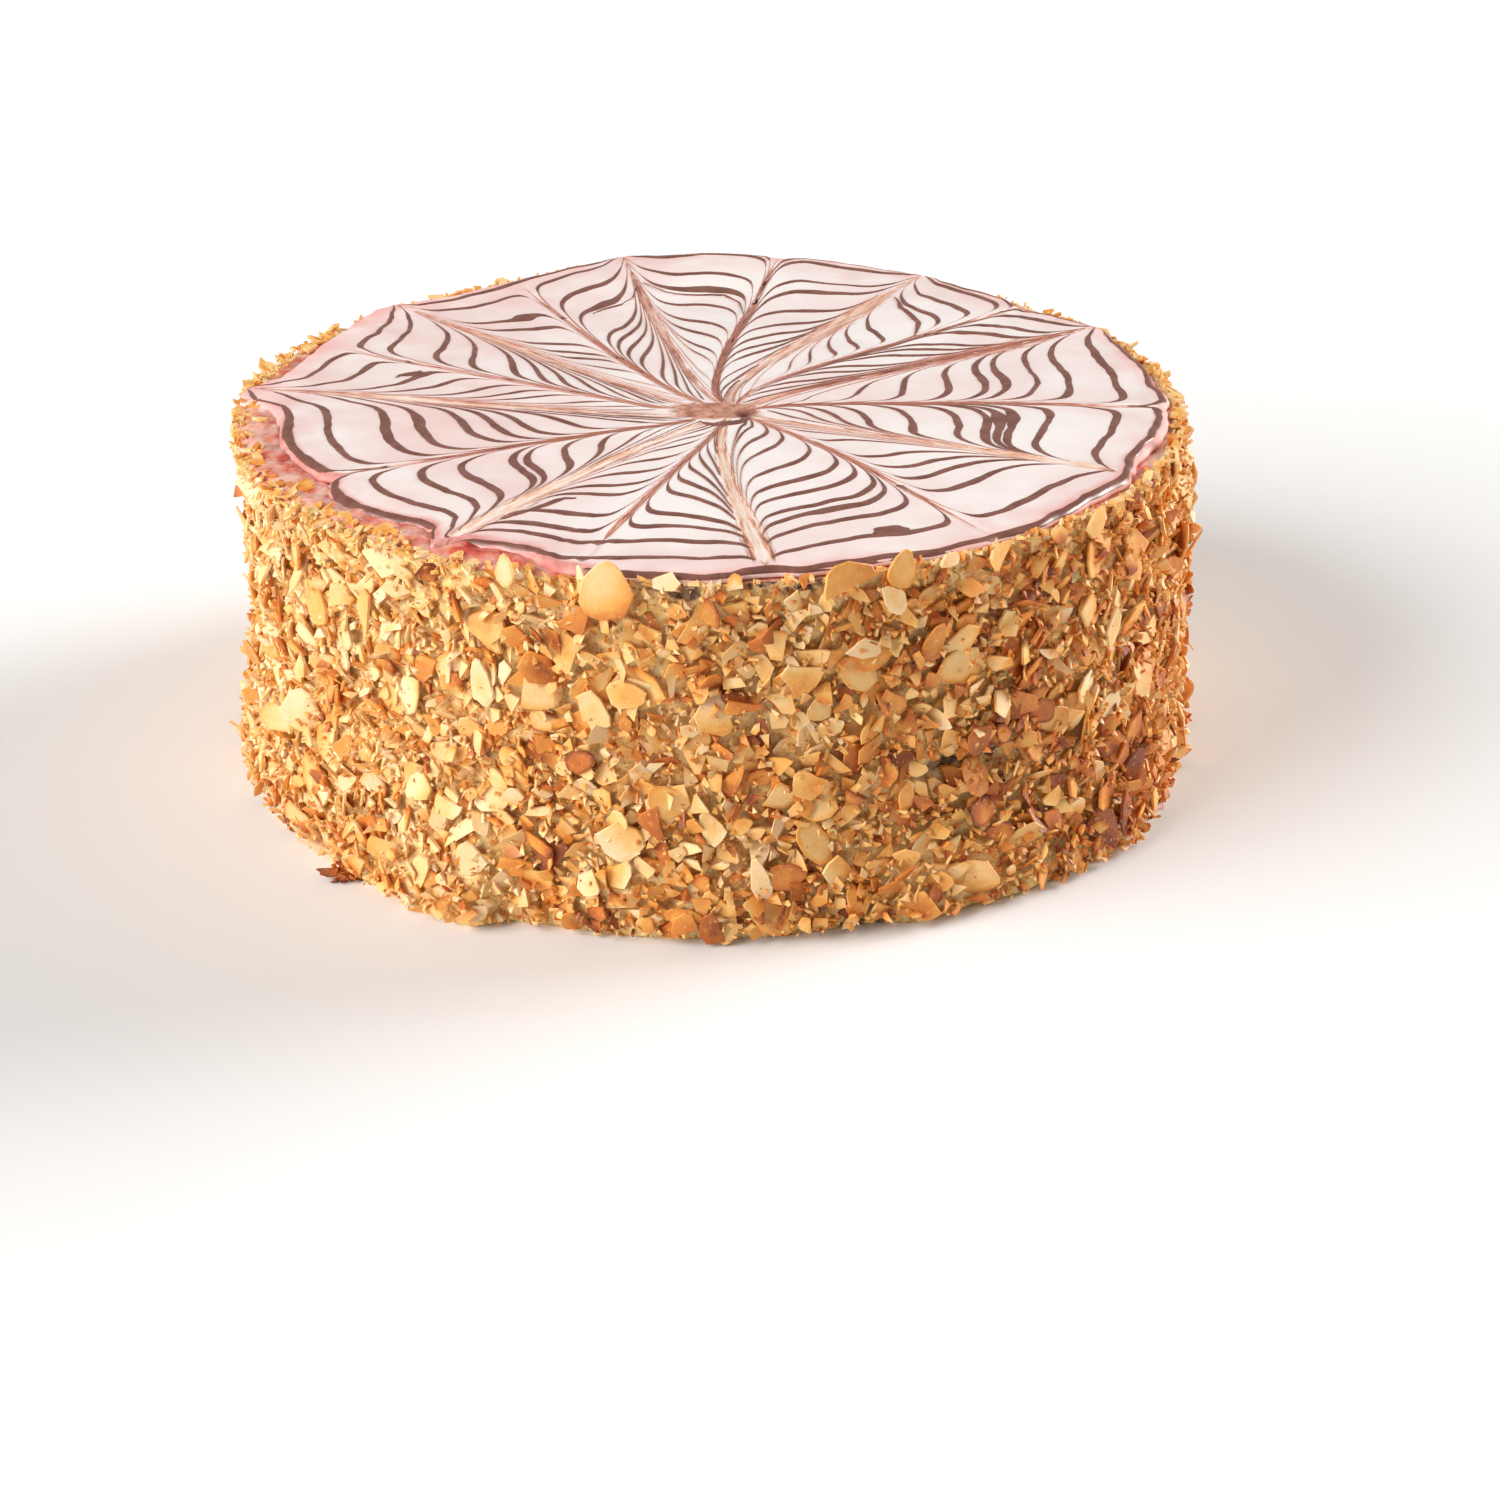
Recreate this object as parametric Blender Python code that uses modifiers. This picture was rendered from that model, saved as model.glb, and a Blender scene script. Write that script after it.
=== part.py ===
"""Esterhazy torte: a tall round cake coated with cream and toasted sliced almonds.

A thin sheet of red jam and a sheet of poured fondant lie on the cake. Rings of chocolate are piped
on the wet fondant and drawn out and in by sixteen knife strokes, which gives the feathered web.
Metres, +Z up. The origin is the middle of the flat base, and -Y is the side that faces the viewer.
"""

import bisect
import math
import random

import bmesh
import bpy
from mathutils import Matrix, Vector, noise

MM = 0.001

# The cake.
CAKE_HEIGHT = 85.8 * MM  # base to the fondant's face, at the middle
FOOT_RADIUS = 118.6 * MM  # cream coat, without the almonds that stand out of it
WAIST_RADIUS = 117.0 * MM
SHOULDER_RADIUS = 116.7 * MM
SHOULDER_ROUND = 1.2 * MM
TOP_SLOPE_X = -0.0056  # the baker's top isn't level: it falls a little to the right
TOP_SLOPE_Y = -0.0206  # and to the back
TOP_SHIFT = Vector((-1.7, 0.8, 0.0)) * MM  # middle of the top, from the middle of the base
GAP = 0.35 * MM  # between one layer's solid and the next

# The two sheets on top.
FONDANT_THICKNESS = 2.0 * MM
RIDGE_HEIGHT = 0.5 * MM  # of the piped chocolate, above the fondant
FONDANT_RADIUS = 115.3 * MM
JAM_THICKNESS = 1.0 * MM
JAM_RADIUS = 115.0 * MM
JAM_POINTS = 72
# Where the jam shows: degrees round the top, and how far in mm the fondant stops short of its radius there.
BARE_JAM = (
    (0.0, 0.0), (33.0, 1.0), (65.0, -0.4), (137.0, -0.5), (177.0, 0.0), (185.0, 11.5), (206.0, 11.5),
    (212.5, 15.0), (219.0, 11.5), (232.0, 11.0), (238.0, 5.5), (247.0, 4.8), (254.0, 1.6),
    (260.0, -0.4), (272.0, -0.4), (360.0, 0.0),
)
# Each wave of a sheet's edge: how many times it goes round, its size and its phase.
FONDANT_WAVES = ((11, 0.15 * MM, 2.0),)
JAM_WAVES = ((7, 0.25 * MM, 1.0), (13, 0.20 * MM, 0.3))
FONDANT_FACE = CAKE_HEIGHT - RIDGE_HEIGHT
FONDANT_FOOT = FONDANT_FACE - FONDANT_THICKNESS
JAM_FOOT = FONDANT_FOOT - GAP - JAM_THICKNESS
CAKE_TOP = JAM_FOOT - GAP

# The feathered web, measured from the middle of the piped rings.
WEB_CENTRE = Vector((5.0, -12.0, 0.0)) * MM
RING_SHARES = (0.22, 0.30, 0.38, 0.46, 0.54, 0.62, 0.705, 0.795, 0.885, 0.96)
MEAN_REACH = 112.0 * MM  # from the middle of the rings to the fondant's edge
RIDGE_WIDTH = 1.9 * MM
EDGE_ROUND = 0.6 * MM
# Each stroke: its angle in degrees 100 mm out, how far in mm it passes to the left of the middle.
# The strokes go by turns inward and outward, and the first goes inward.
STROKES = (
    (1.3, 9.0), (33.5, 6.0), (48.0, 8.0), (66.2, 9.0),
    (84.9, 9.0), (103.3, 5.0), (120.0, 8.0), (136.0, 5.0),
    (153.5, 9.0), (171.7, 8.0), (204.0, 0.0), (231.7, -3.0),
    (251.0, -3.0), (274.0, -6.0), (305.0, 4.0), (333.0, 0.0),
)
STROKE_RADIUS = 100.0 * MM
COLUMN_SHARES = (0.0, 0.13, 0.36, 0.64, 0.87)  # columns of the mesh from one stroke to the next
BROAD_PULL = 0.14  # how far a stroke draws what lies beside it, as a share of the way it can go
BROAD_WIDTH = 0.15  # how far that reaches, as a share of the way to the next stroke
SHARP_PULL = 0.30  # the same right at the stroke
SHARP_WIDTH = 0.03
RIM_HOLD = 0.02  # within about this share of the edge, an inward stroke draws nothing along
ROUNDNESS = 1.5  # the inner rings are round, and the outer ones follow the edge
INNERMOST = 22.0 * MM  # a stroke's angle stays as it is inside this radius

# The coat of almonds.
SIDE_SEGMENTS = 52
SIDE_HEIGHTS = tuple(h * MM for h in (0.0, 2.2, 13.0, 25.0, 37.0, 49.0, 61.0, 71.0, 78.5))
COAT_BUMP = 1.2 * MM
COAT_BUMP_SIZE = 19.0 * MM
COAT_BUMP_OFFSET = Vector((3.1, 7.4, 1.9))  # where the noise that makes the lumps is read
FLAKES = 153
RIM_FLAKES = 24
FLAKE_SIDES = 6
FLAKE_THICKNESS = 1.2 * MM
FLAKE_LENGTH = (9.5 * MM, 15.0 * MM)
FLAKE_WIDTH = (0.62, 0.92)  # as a share of its length
FLAKE_CORNER = (0.76, 1.0)  # how far out its corners are, of half its length and width
FLAKE_CUP = (0.4 * MM, 1.2 * MM)
FLAKE_DEPTH = (0.6 * MM, 1.1 * MM)  # its middle above the coat
FLAKE_LEAN = 0.16
RIM_FLAKE_LENGTH = (8.5 * MM, 12.0 * MM)
RIM_FLAKE_DEPTH = 1.2 * MM
RIM_FLAKE_DROP = (0.5 * MM, 3.5 * MM)  # its middle below the top of the coat
RIM_FLAKE_LEAN = (0.12, 0.26)
CLEARANCE = 1.0 * MM  # from a flake to the fondant
FLAKE_SEED = 41
GOLDEN_TURN = math.pi * (3.0 - math.sqrt(5.0))
CRUST_CLUMP_ANGLE = math.radians(225.0)
CRUST_CLUMP_SIZE = Vector((6.5, 4.0, 2.2)) * MM

SHARP_ANGLE = math.radians(30.0)
TOASTED_ALMOND = (0.76, 0.47, 0.20)
RED_JAM = (0.62, 0.10, 0.07)
PINK_FONDANT = (0.93, 0.83, 0.80)


def clear_scene():
    for old in list(bpy.data.objects):
        bpy.data.objects.remove(old)


def finish_of(name, colour, roughness):
    """A Principled material of one colour."""
    material = bpy.data.materials.new(name)
    material.use_nodes = True
    shader = material.node_tree.nodes["Principled BSDF"]
    shader.inputs["Base Color"].default_value = (*colour, 1.0)
    shader.inputs["Roughness"].default_value = roughness
    shader.inputs["Metallic"].default_value = 0.0
    return material


def linked(name, mesh, collection):
    part = bpy.data.objects.new(name, mesh)
    collection.objects.link(part)
    return part


def turned(name, profile, steps, collection):
    """A closed solid turned round Z from (radius, height) points, from the axis at the top out and down."""
    outline = bpy.data.meshes.new(name + "_profile")
    points = [(radius, 0.0, height) for radius, height in profile]
    outline.from_pydata(points, [(i, i + 1) for i in range(len(points) - 1)], [])
    spun = linked(name + "_spun", outline, collection)
    screw = spun.modifiers.new("turn", "SCREW")
    screw.steps = screw.render_steps = steps
    screw.use_merge_vertices = True
    screw.merge_threshold = 0.00002
    graph = bpy.context.evaluated_depsgraph_get()
    graph.update()
    mesh = bpy.data.meshes.new_from_object(spun.evaluated_get(graph))
    bpy.data.objects.remove(spun)
    return linked(name, mesh, collection)


def between(stations, x):
    """Smoothly between (x, value) stations in rising order of x."""
    places = [station[0] for station in stations]
    i = min(max(bisect.bisect_right(places, x) - 1, 0), len(stations) - 2)
    (x0, v0), (x1, v1) = stations[i], stations[i + 1]
    t = min(max((x - x0) / (x1 - x0), 0.0), 1.0)
    return v0 + (v1 - v0) * t * t * (3.0 - 2.0 * t)


def coat_radius(height):
    """Radius of the cream coat: flared at the foot, and drawn in to a round shoulder."""
    return between(
        (
            (0.0, FOOT_RADIUS),
            (0.45 * CAKE_TOP, WAIST_RADIUS),
            (0.80 * CAKE_TOP, WAIST_RADIUS - 0.2 * MM),
            (0.95 * CAKE_TOP, SHOULDER_RADIUS),
            (CAKE_TOP, SHOULDER_RADIUS - SHOULDER_ROUND),
        ),
        height,
    )


def lean(point):
    """Where a point of an upright, level cake lies on this one, whose top is shifted and slopes."""
    share = point.z / CAKE_HEIGHT
    rise = TOP_SLOPE_X * point.x + TOP_SLOPE_Y * point.y
    return Vector((point.x, point.y, point.z + share * rise)) + TOP_SHIFT * share


def lean_all(part):
    for vertex in part.data.vertices:
        vertex.co = lean(vertex.co)


def core(collection):
    """The cake without its almonds, with the cream coat's lumps."""
    side = [(coat_radius(height), height) for height in reversed(SIDE_HEIGHTS)]
    profile = [(0.0, CAKE_TOP), (SHOULDER_RADIUS - SHOULDER_ROUND, CAKE_TOP), *side, (0.0, 0.0)]
    cake = turned("cake_body", profile, SIDE_SEGMENTS, collection)
    for vertex in cake.data.vertices:
        height = vertex.co.z
        if not 1.0 * MM < height < CAKE_TOP - 1.0 * MM:
            continue
        radius = vertex.co.xy.length
        lump = COAT_BUMP * noise.noise(vertex.co / COAT_BUMP_SIZE + COAT_BUMP_OFFSET)
        vertex.co.xy *= (radius + lump) / radius
    return cake


def flake(name, length, width, rng, collection):
    """A broken slice of almond: a thin six-sided plate, cupped along its length."""
    mesh = bpy.data.meshes.new(name)
    shape = bmesh.new()
    bmesh.ops.create_cone(
        shape,
        cap_ends=True,
        cap_tris=True,
        segments=FLAKE_SIDES,
        radius1=0.5,
        radius2=0.5,
        depth=FLAKE_THICKNESS,
    )
    reach = [rng.uniform(*FLAKE_CORNER) for _ in range(FLAKE_SIDES)]
    cup = rng.uniform(*FLAKE_CUP)
    for vertex in shape.verts:
        turn = math.atan2(vertex.co.y, vertex.co.x) % (2.0 * math.pi)
        corner = round(turn / (2.0 * math.pi) * FLAKE_SIDES) % FLAKE_SIDES
        x = vertex.co.x * length * reach[corner]
        y = vertex.co.y * width * reach[corner]
        vertex.co = Vector((x, y, vertex.co.z - cup * (2.0 * x / length) ** 2))
    shape.to_mesh(mesh)
    shape.free()
    return linked(name, mesh, collection)


def stand_on_side(piece, angle, height, depth, spin, pitch, yaw):
    """Puts a flake on the coat: turned by spin in its own plane, out by pitch and sideways by yaw."""
    outward = Matrix.Rotation(angle, 4, "Z") @ Matrix.Rotation(math.pi / 2, 4, "Y")
    turn = Matrix.Rotation(pitch, 4, "Y") @ Matrix.Rotation(yaw, 4, "X") @ Matrix.Rotation(spin, 4, "Z")
    radius = coat_radius(height) + depth
    place = Matrix.Translation((radius * math.cos(angle), radius * math.sin(angle), height))
    piece.data.transform(place @ outward @ turn)
    lean_all(piece)


def clear_of_others(piece):
    """False where a flake would reach under the floor or into the sheets on top."""
    for vertex in piece.data.vertices:
        height = vertex.co.z
        if height < GAP:
            return False
        top = lean(Vector((vertex.co.x, vertex.co.y, CAKE_TOP - GAP))).z
        if height > top and (vertex.co - TOP_SHIFT).xy.length < FONDANT_RADIUS + CLEARANCE:
            return False
    return True


def keep_if_clear(piece):
    if not clear_of_others(piece):
        bpy.data.objects.remove(piece)


def side_flakes(collection):
    """The largest almonds, spread evenly over the side along a steep helix."""
    rng = random.Random(FLAKE_SEED)
    for i in range(FLAKES):
        length = rng.uniform(*FLAKE_LENGTH)
        piece = flake(f"almond_{i}", length, length * rng.uniform(*FLAKE_WIDTH), rng, collection)
        height = (0.07 + 0.87 * (i + 0.5) / FLAKES) * CAKE_TOP
        angle = i * GOLDEN_TURN + rng.uniform(-0.02, 0.02)
        depth, spin = rng.uniform(*FLAKE_DEPTH), rng.uniform(0.0, math.pi)
        pitch, yaw = rng.gauss(0.0, FLAKE_LEAN), rng.gauss(0.0, FLAKE_LEAN)
        stand_on_side(piece, angle, height, depth, spin, pitch, yaw)
        keep_if_clear(piece)


def rim_flakes(collection):
    """Almonds that stand up past the fondant's edge, leaning out a little."""
    rng = random.Random(FLAKE_SEED + 1)
    for i in range(RIM_FLAKES):
        length = rng.uniform(*RIM_FLAKE_LENGTH)
        piece = flake(f"rim_almond_{i}", length, length * rng.uniform(*FLAKE_WIDTH), rng, collection)
        angle = 2.0 * math.pi * (i + rng.uniform(-0.3, 0.3)) / RIM_FLAKES
        height = CAKE_TOP - rng.uniform(*RIM_FLAKE_DROP)
        spin, pitch, yaw = rng.uniform(0.0, math.pi), rng.uniform(*RIM_FLAKE_LEAN), rng.gauss(0.0, 0.08)
        stand_on_side(piece, angle, height, RIM_FLAKE_DEPTH, spin, pitch, yaw)
        keep_if_clear(piece)


def crust_clump(collection):
    """A browned crumb that has stuck to the foot."""
    mesh = bpy.data.meshes.new("crust_clump")
    shape = bmesh.new()
    bmesh.ops.create_icosphere(shape, subdivisions=2, radius=1.0)
    for vertex in shape.verts:
        swell = 1.0 + 0.25 * noise.noise(vertex.co * 1.7)
        vertex.co = vertex.co * CRUST_CLUMP_SIZE * swell
    shape.to_mesh(mesh)
    shape.free()
    piece = linked("crust_clump", mesh, collection)
    spot = Matrix.Rotation(CRUST_CLUMP_ANGLE, 3, "Z") @ Vector((FOOT_RADIUS + 0.6 * MM, 0.0, 0.0))
    spot.z = CRUST_CLUMP_SIZE.z + 0.8 * MM
    turn = Matrix.Rotation(CRUST_CLUMP_ANGLE + math.radians(70.0), 4, "Z")
    piece.data.transform(Matrix.Translation(spot) @ turn)


def triangulate(shape):
    """Splits every face. Where two neighbours would share a diagonal, one of them is split the other way."""
    source = shape.faces.layers.int.new("source")
    for face in shape.faces:
        face[source] = face.index
    bmesh.ops.triangulate(shape, faces=shape.faces[:])
    for edge in [edge for edge in shape.edges if len(edge.link_faces) > 2]:
        one = edge.link_faces[0]
        two = next(face for face in edge.link_faces[1:] if face[source] == one[source])
        start, end, tip = [loop.vert for loop in one.loops]
        while tip in edge.verts:
            start, end, tip = end, tip, start
        far = next(vertex for vertex in two.verts if vertex not in edge.verts)
        bmesh.ops.delete(shape, geom=[one, two], context="FACES_ONLY")
        shape.faces.new((tip, start, far))
        shape.faces.new((far, end, tip))


def outer_skin(part):
    """Keeps the largest connected skin, so that a sealed hollow is filled and a loose scrap is dropped."""
    shape = bmesh.new()
    shape.from_mesh(part.data)
    left = set(shape.verts)
    skins = []
    while left:
        skin = []
        reached = [left.pop()]
        while reached:
            vertex = reached.pop()
            skin.append(vertex)
            for edge in vertex.link_edges:
                other = edge.other_vert(vertex)
                if other in left:
                    left.remove(other)
                    reached.append(other)
        skins.append(skin)
    skins.sort(key=len)
    bmesh.ops.delete(shape, geom=[vertex for skin in skins[:-1] for vertex in skin], context="VERTS")
    triangulate(shape)
    shape.to_mesh(part.data)
    shape.free()


def cake_body(parts):
    """The coated cake with its almonds fused on."""
    toppings = bpy.data.collections.new("almonds")
    bpy.context.scene.collection.children.link(toppings)
    cake = core(parts)
    lean_all(cake)
    side_flakes(toppings)
    rim_flakes(toppings)
    crust_clump(toppings)
    union = cake.modifiers.new("fuse", "BOOLEAN")
    union.operation = "UNION"
    union.operand_type = "COLLECTION"
    union.collection = toppings
    union.solver = "EXACT"
    graph = bpy.context.evaluated_depsgraph_get()
    graph.update()
    fused = bpy.data.meshes.new_from_object(cake.evaluated_get(graph))
    cake.modifiers.clear()
    cake.data = fused
    for piece in list(toppings.objects):
        bpy.data.objects.remove(piece)
    bpy.data.collections.remove(toppings)
    outer_skin(cake)
    cake.data.materials.clear()
    cake.data.materials.append(finish_of("toasted_almond_coat", TOASTED_ALMOND, 0.6))
    return cake


def wavy(angle, waves):
    return sum(size * math.sin(count * angle + phase) for count, size, phase in waves)


def fondant_edge(angle):
    """The fondant's edge from the middle of the top: wavy, and short of the rim where the jam shows."""
    bare = between(BARE_JAM, math.degrees(angle) % 360.0) * MM
    return FONDANT_RADIUS - bare + wavy(angle, FONDANT_WAVES)


def edge_from_web(angle):
    """Distance from the middle of the rings to the fondant's edge."""
    centre = WEB_CENTRE - TOP_SHIFT
    along = Vector((math.cos(angle), math.sin(angle), 0.0))
    reach = FONDANT_RADIUS
    for _ in range(12):
        spot = centre + along * reach
        reach += fondant_edge(math.atan2(spot.y, spot.x)) - spot.length
    return reach


def stroke_angle(number, radius):
    """The angle at which a straight stroke, which passes beside the middle, is that far out."""
    angle, miss = STROKES[number % len(STROKES)]
    turns = number // len(STROKES)
    turned_by = math.asin(miss * MM / max(radius, INNERMOST)) - math.asin(miss * MM / STROKE_RADIUS)
    return math.radians(angle + 360.0 * turns) + turned_by


def drawn(share, t, outward):
    """A ring's share of the way out once a stroke has passed, at t of the way from it to the next stroke."""
    broad = BROAD_PULL * math.exp(-t / BROAD_WIDTH) * (1.0 - t)
    sharp = SHARP_PULL * math.exp(-t / SHARP_WIDTH) * (1.0 - t)
    if outward:
        return 1.0 - (1.0 - share) * (1.0 - broad) * (1.0 - sharp)
    held = 1.0 - math.exp(-(1.0 - share) / RIM_HOLD)
    return share * (1.0 - held * broad) * (1.0 - held * sharp)


def feathered(column, share):
    """Angle and radius of a ring's point once the strokes have drawn it, by its share of the way out."""
    stroke, step = divmod(column, len(COLUMN_SHARES))
    t = COLUMN_SHARES[step]
    outward = stroke % 2 == 1
    share = drawn(drawn(share, t, outward), 1.0 - t, not outward)
    reach = share * MEAN_REACH
    for _ in range(4):
        before, after = stroke_angle(stroke, reach), stroke_angle(stroke + 1, reach)
        angle = before + (after - before) * t
        reach = share * (MEAN_REACH + (edge_from_web(angle) - MEAN_REACH) * share**ROUNDNESS)
    return angle, reach


def fondant(parts):
    """The sheet of fondant with its piped rings, turned as one profile and then feathered."""
    half = 0.5 * RIDGE_WIDTH / MEAN_REACH
    shares = []
    for share in RING_SHARES:
        shares += [(share - half, FONDANT_FACE), (share, CAKE_HEIGHT), (share + half, FONDANT_FACE)]
    rounded = 1.0 - EDGE_ROUND / MEAN_REACH
    shares += [(rounded, FONDANT_FACE), (1.0, FONDANT_FACE - EDGE_ROUND)]
    shares += [(1.0, FONDANT_FOOT + 0.5 * EDGE_ROUND), (rounded, FONDANT_FOOT)]
    steps = [(share * MEAN_REACH, height) for share, height in shares]
    profile = [(0.0, FONDANT_FACE), *steps, (0.0, FONDANT_FOOT)]
    columns = len(STROKES) * len(COLUMN_SHARES)
    icing = turned("fondant_icing", profile, columns, parts)
    for vertex in icing.data.vertices:
        radius = vertex.co.xy.length
        if radius > 0.1 * MM:
            column = round(math.atan2(vertex.co.y, vertex.co.x) / (2.0 * math.pi) * columns) % columns
            angle, reach = feathered(column, radius / MEAN_REACH)
            vertex.co.x = reach * math.cos(angle)
            vertex.co.y = reach * math.sin(angle)
        vertex.co += WEB_CENTRE - TOP_SHIFT
        vertex.co = lean(vertex.co)
    icing.data.materials.append(finish_of("pink_fondant", PINK_FONDANT, 0.25))
    return icing


def jam_sheet(parts):
    """The thin jam under the fondant, which shows where the fondant stops short."""
    outline = bpy.data.curves.new("jam_outline", "CURVE")
    outline.dimensions = "2D"
    outline.fill_mode = "BOTH"
    outline.extrude = 0.5 * JAM_THICKNESS
    spline = outline.splines.new("POLY")
    spline.points.add(JAM_POINTS - 1)
    spline.use_cyclic_u = True
    for i, point in enumerate(spline.points):
        angle = 2.0 * math.pi * i / JAM_POINTS
        reach = JAM_RADIUS + wavy(angle, JAM_WAVES)
        point.co = (reach * math.cos(angle), reach * math.sin(angle), 0.0, 1.0)
    drawn = linked("jam_drawn", outline, parts)
    drawn.location.z = JAM_FOOT + 0.5 * JAM_THICKNESS
    bpy.context.view_layer.update()
    graph = bpy.context.evaluated_depsgraph_get()
    mesh = bpy.data.meshes.new_from_object(drawn.evaluated_get(graph))
    mesh.transform(drawn.matrix_world)
    bpy.data.objects.remove(drawn)
    shape = bmesh.new()
    shape.from_mesh(mesh)
    bmesh.ops.remove_doubles(shape, verts=shape.verts[:], dist=0.00001)
    shape.to_mesh(mesh)
    shape.free()
    jam = linked("jam_glaze", mesh, parts)
    lean_all(jam)
    jam.data.materials.append(finish_of("red_jam", RED_JAM, 0.15))
    return jam


def centre_on_base(pieces):
    """Moves the whole so that its box stands centred on the origin."""
    spots = [vertex.co for piece in pieces for vertex in piece.data.vertices]
    low = [min(spot[axis] for spot in spots) for axis in range(3)]
    high = [max(spot[axis] for spot in spots) for axis in range(3)]
    shift = Vector((-(low[0] + high[0]) / 2.0, -(low[1] + high[1]) / 2.0, -low[2]))
    for piece in pieces:
        piece.data.transform(Matrix.Translation(shift))


def main():
    clear_scene()
    parts = bpy.data.collections.new("esterhazy_torte")
    bpy.context.scene.collection.children.link(parts)
    pieces = [cake_body(parts), jam_sheet(parts), fondant(parts)]
    centre_on_base(pieces)
    for piece in pieces:
        piece.data.shade_smooth()
        piece.data.set_sharp_from_angle(angle=SHARP_ANGLE)


main()
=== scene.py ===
"""Esterhazy torte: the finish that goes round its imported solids.

A tall round cake coated with butter cream and toasted sliced almonds, with red jam and poured fondant
on top. On the fondant lies a long spiral of piped chocolate, which sixteen strokes of a knife have drawn
outward and inward by turns into a web.
Lengths are in metres, except where a comment says mm, and tables of angles are in degrees. The cake is
made upright and level, and its points then lean as the real one does.
"""

import math

import bpy
import numpy as np
from mathutils import Matrix, Vector, noise


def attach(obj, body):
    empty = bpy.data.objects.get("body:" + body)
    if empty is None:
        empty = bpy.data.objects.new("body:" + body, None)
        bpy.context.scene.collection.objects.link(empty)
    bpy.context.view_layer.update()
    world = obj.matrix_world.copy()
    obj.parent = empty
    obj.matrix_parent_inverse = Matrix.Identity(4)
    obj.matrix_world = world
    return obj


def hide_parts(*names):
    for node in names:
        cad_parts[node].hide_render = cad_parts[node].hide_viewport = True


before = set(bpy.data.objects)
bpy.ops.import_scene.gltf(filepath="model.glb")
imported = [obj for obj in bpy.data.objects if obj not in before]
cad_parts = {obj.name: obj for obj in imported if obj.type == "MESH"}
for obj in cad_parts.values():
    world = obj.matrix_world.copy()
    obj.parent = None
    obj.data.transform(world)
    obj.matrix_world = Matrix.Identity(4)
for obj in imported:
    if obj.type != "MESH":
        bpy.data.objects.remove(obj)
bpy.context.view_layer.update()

MM = 0.001
TAU = 2.0 * math.pi
EPSILON = 1e-9

# The cake, as the solids have it.
CENTRING = np.array([0.03, -0.365, 0.0]) * MM  # how far the solids were moved to centre them
CAKE_HEIGHT = 85.8 * MM
TOP_SLOPE = np.array([-0.0056, -0.0206])  # how much the top rises to the right and to the back
TOP_SHIFT = np.array([-1.7, 0.8, 0.0]) * MM  # how far the top lies off the foot
SWELL = 3.0 * MM  # how far the top swells up at the back
SWELL_TURN = 92.0
SWELL_SPREAD = 27.0
SWELL_RADII = (68.0, 112.0)  # mm from the middle, where it begins and where it is whole
SWELL_LEVELS = (0.6, 0.95)  # the same, by the share of the cake's height
FONDANT_FACE = 85.3 * MM
FONDANT_FOOT = 83.25 * MM
JAM_FACE = 82.95 * MM
JAM_FOOT = 81.95 * MM
CAKE_TOP = 81.6 * MM
FLOOR_GAP = 0.05 * MM  # nothing on the cake reaches lower than this

# The camera.
CAMERA_PLACE = Vector((8.11, -695.25, 340.27)) * MM
CAMERA_DIP = math.radians(26.8645)
CAMERA_ROLL = math.radians(-0.734)
CAMERA_LENS = 72.0  # mm on a 36 mm sensor

# The web. A place on it is a stroke's number, a share of the way to the next stroke, and a share of the way
# out from the middle of the web to the fondant's edge.
WEB_CENTRE = np.array([5.05, -12.08, 0.0]) * MM
# The strokes, inward and outward by turns, and the first inward: the angle of each one 100 mm out, how far
# in mm it passes to the left of the middle, how many times as wide as usual its stain is, how much of that
# is peach rather than salmon and brown, and how far out it ends, in hundredths of the way.
STROKES = (
    (1.3, 12.0, 1.6, 0.0, 99.0), (35.1, 8.0, 2.0, 0.0, 100.0), (48.4, 15.0, 1.5, 0.0, 100.0),
    (66.3, 14.5, 1.8, 0.5, 100.0), (85.3, 12.0, 1.4, 0.0, 103.0), (104.5, 6.0, 0.8, 0.3, 100.0),
    (120.0, 8.0, 0.7, 0.0, 97.0), (136.1, 8.0, 0.9, 0.5, 100.0), (153.2, 8.0, 1.2, 0.0, 96.0),
    (170.6, 9.5, 1.1, 0.7, 100.0), (204.0, 0.0, 0.8, 0.0, 101.0), (232.5, -5.5, 1.5, 1.0, 100.0),
    (251.0, 0.0, 1.2, 0.0, 83.0), (274.2, -9.0, 1.6, 1.0, 98.5), (305.0, 6.0, 0.6, 0.0, 94.0),
    (334.2, 0.0, 1.1, 0.8, 96.0),
)
STROKE_RADIUS = 100.0 * MM
INNERMOST = 22.0 * MM  # inside this radius the strokes turn less and less
MEAN_REACH = 111.0 * MM
ROUNDNESS = 1.5  # the inner turns are round, and the outer ones follow the edge
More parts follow.
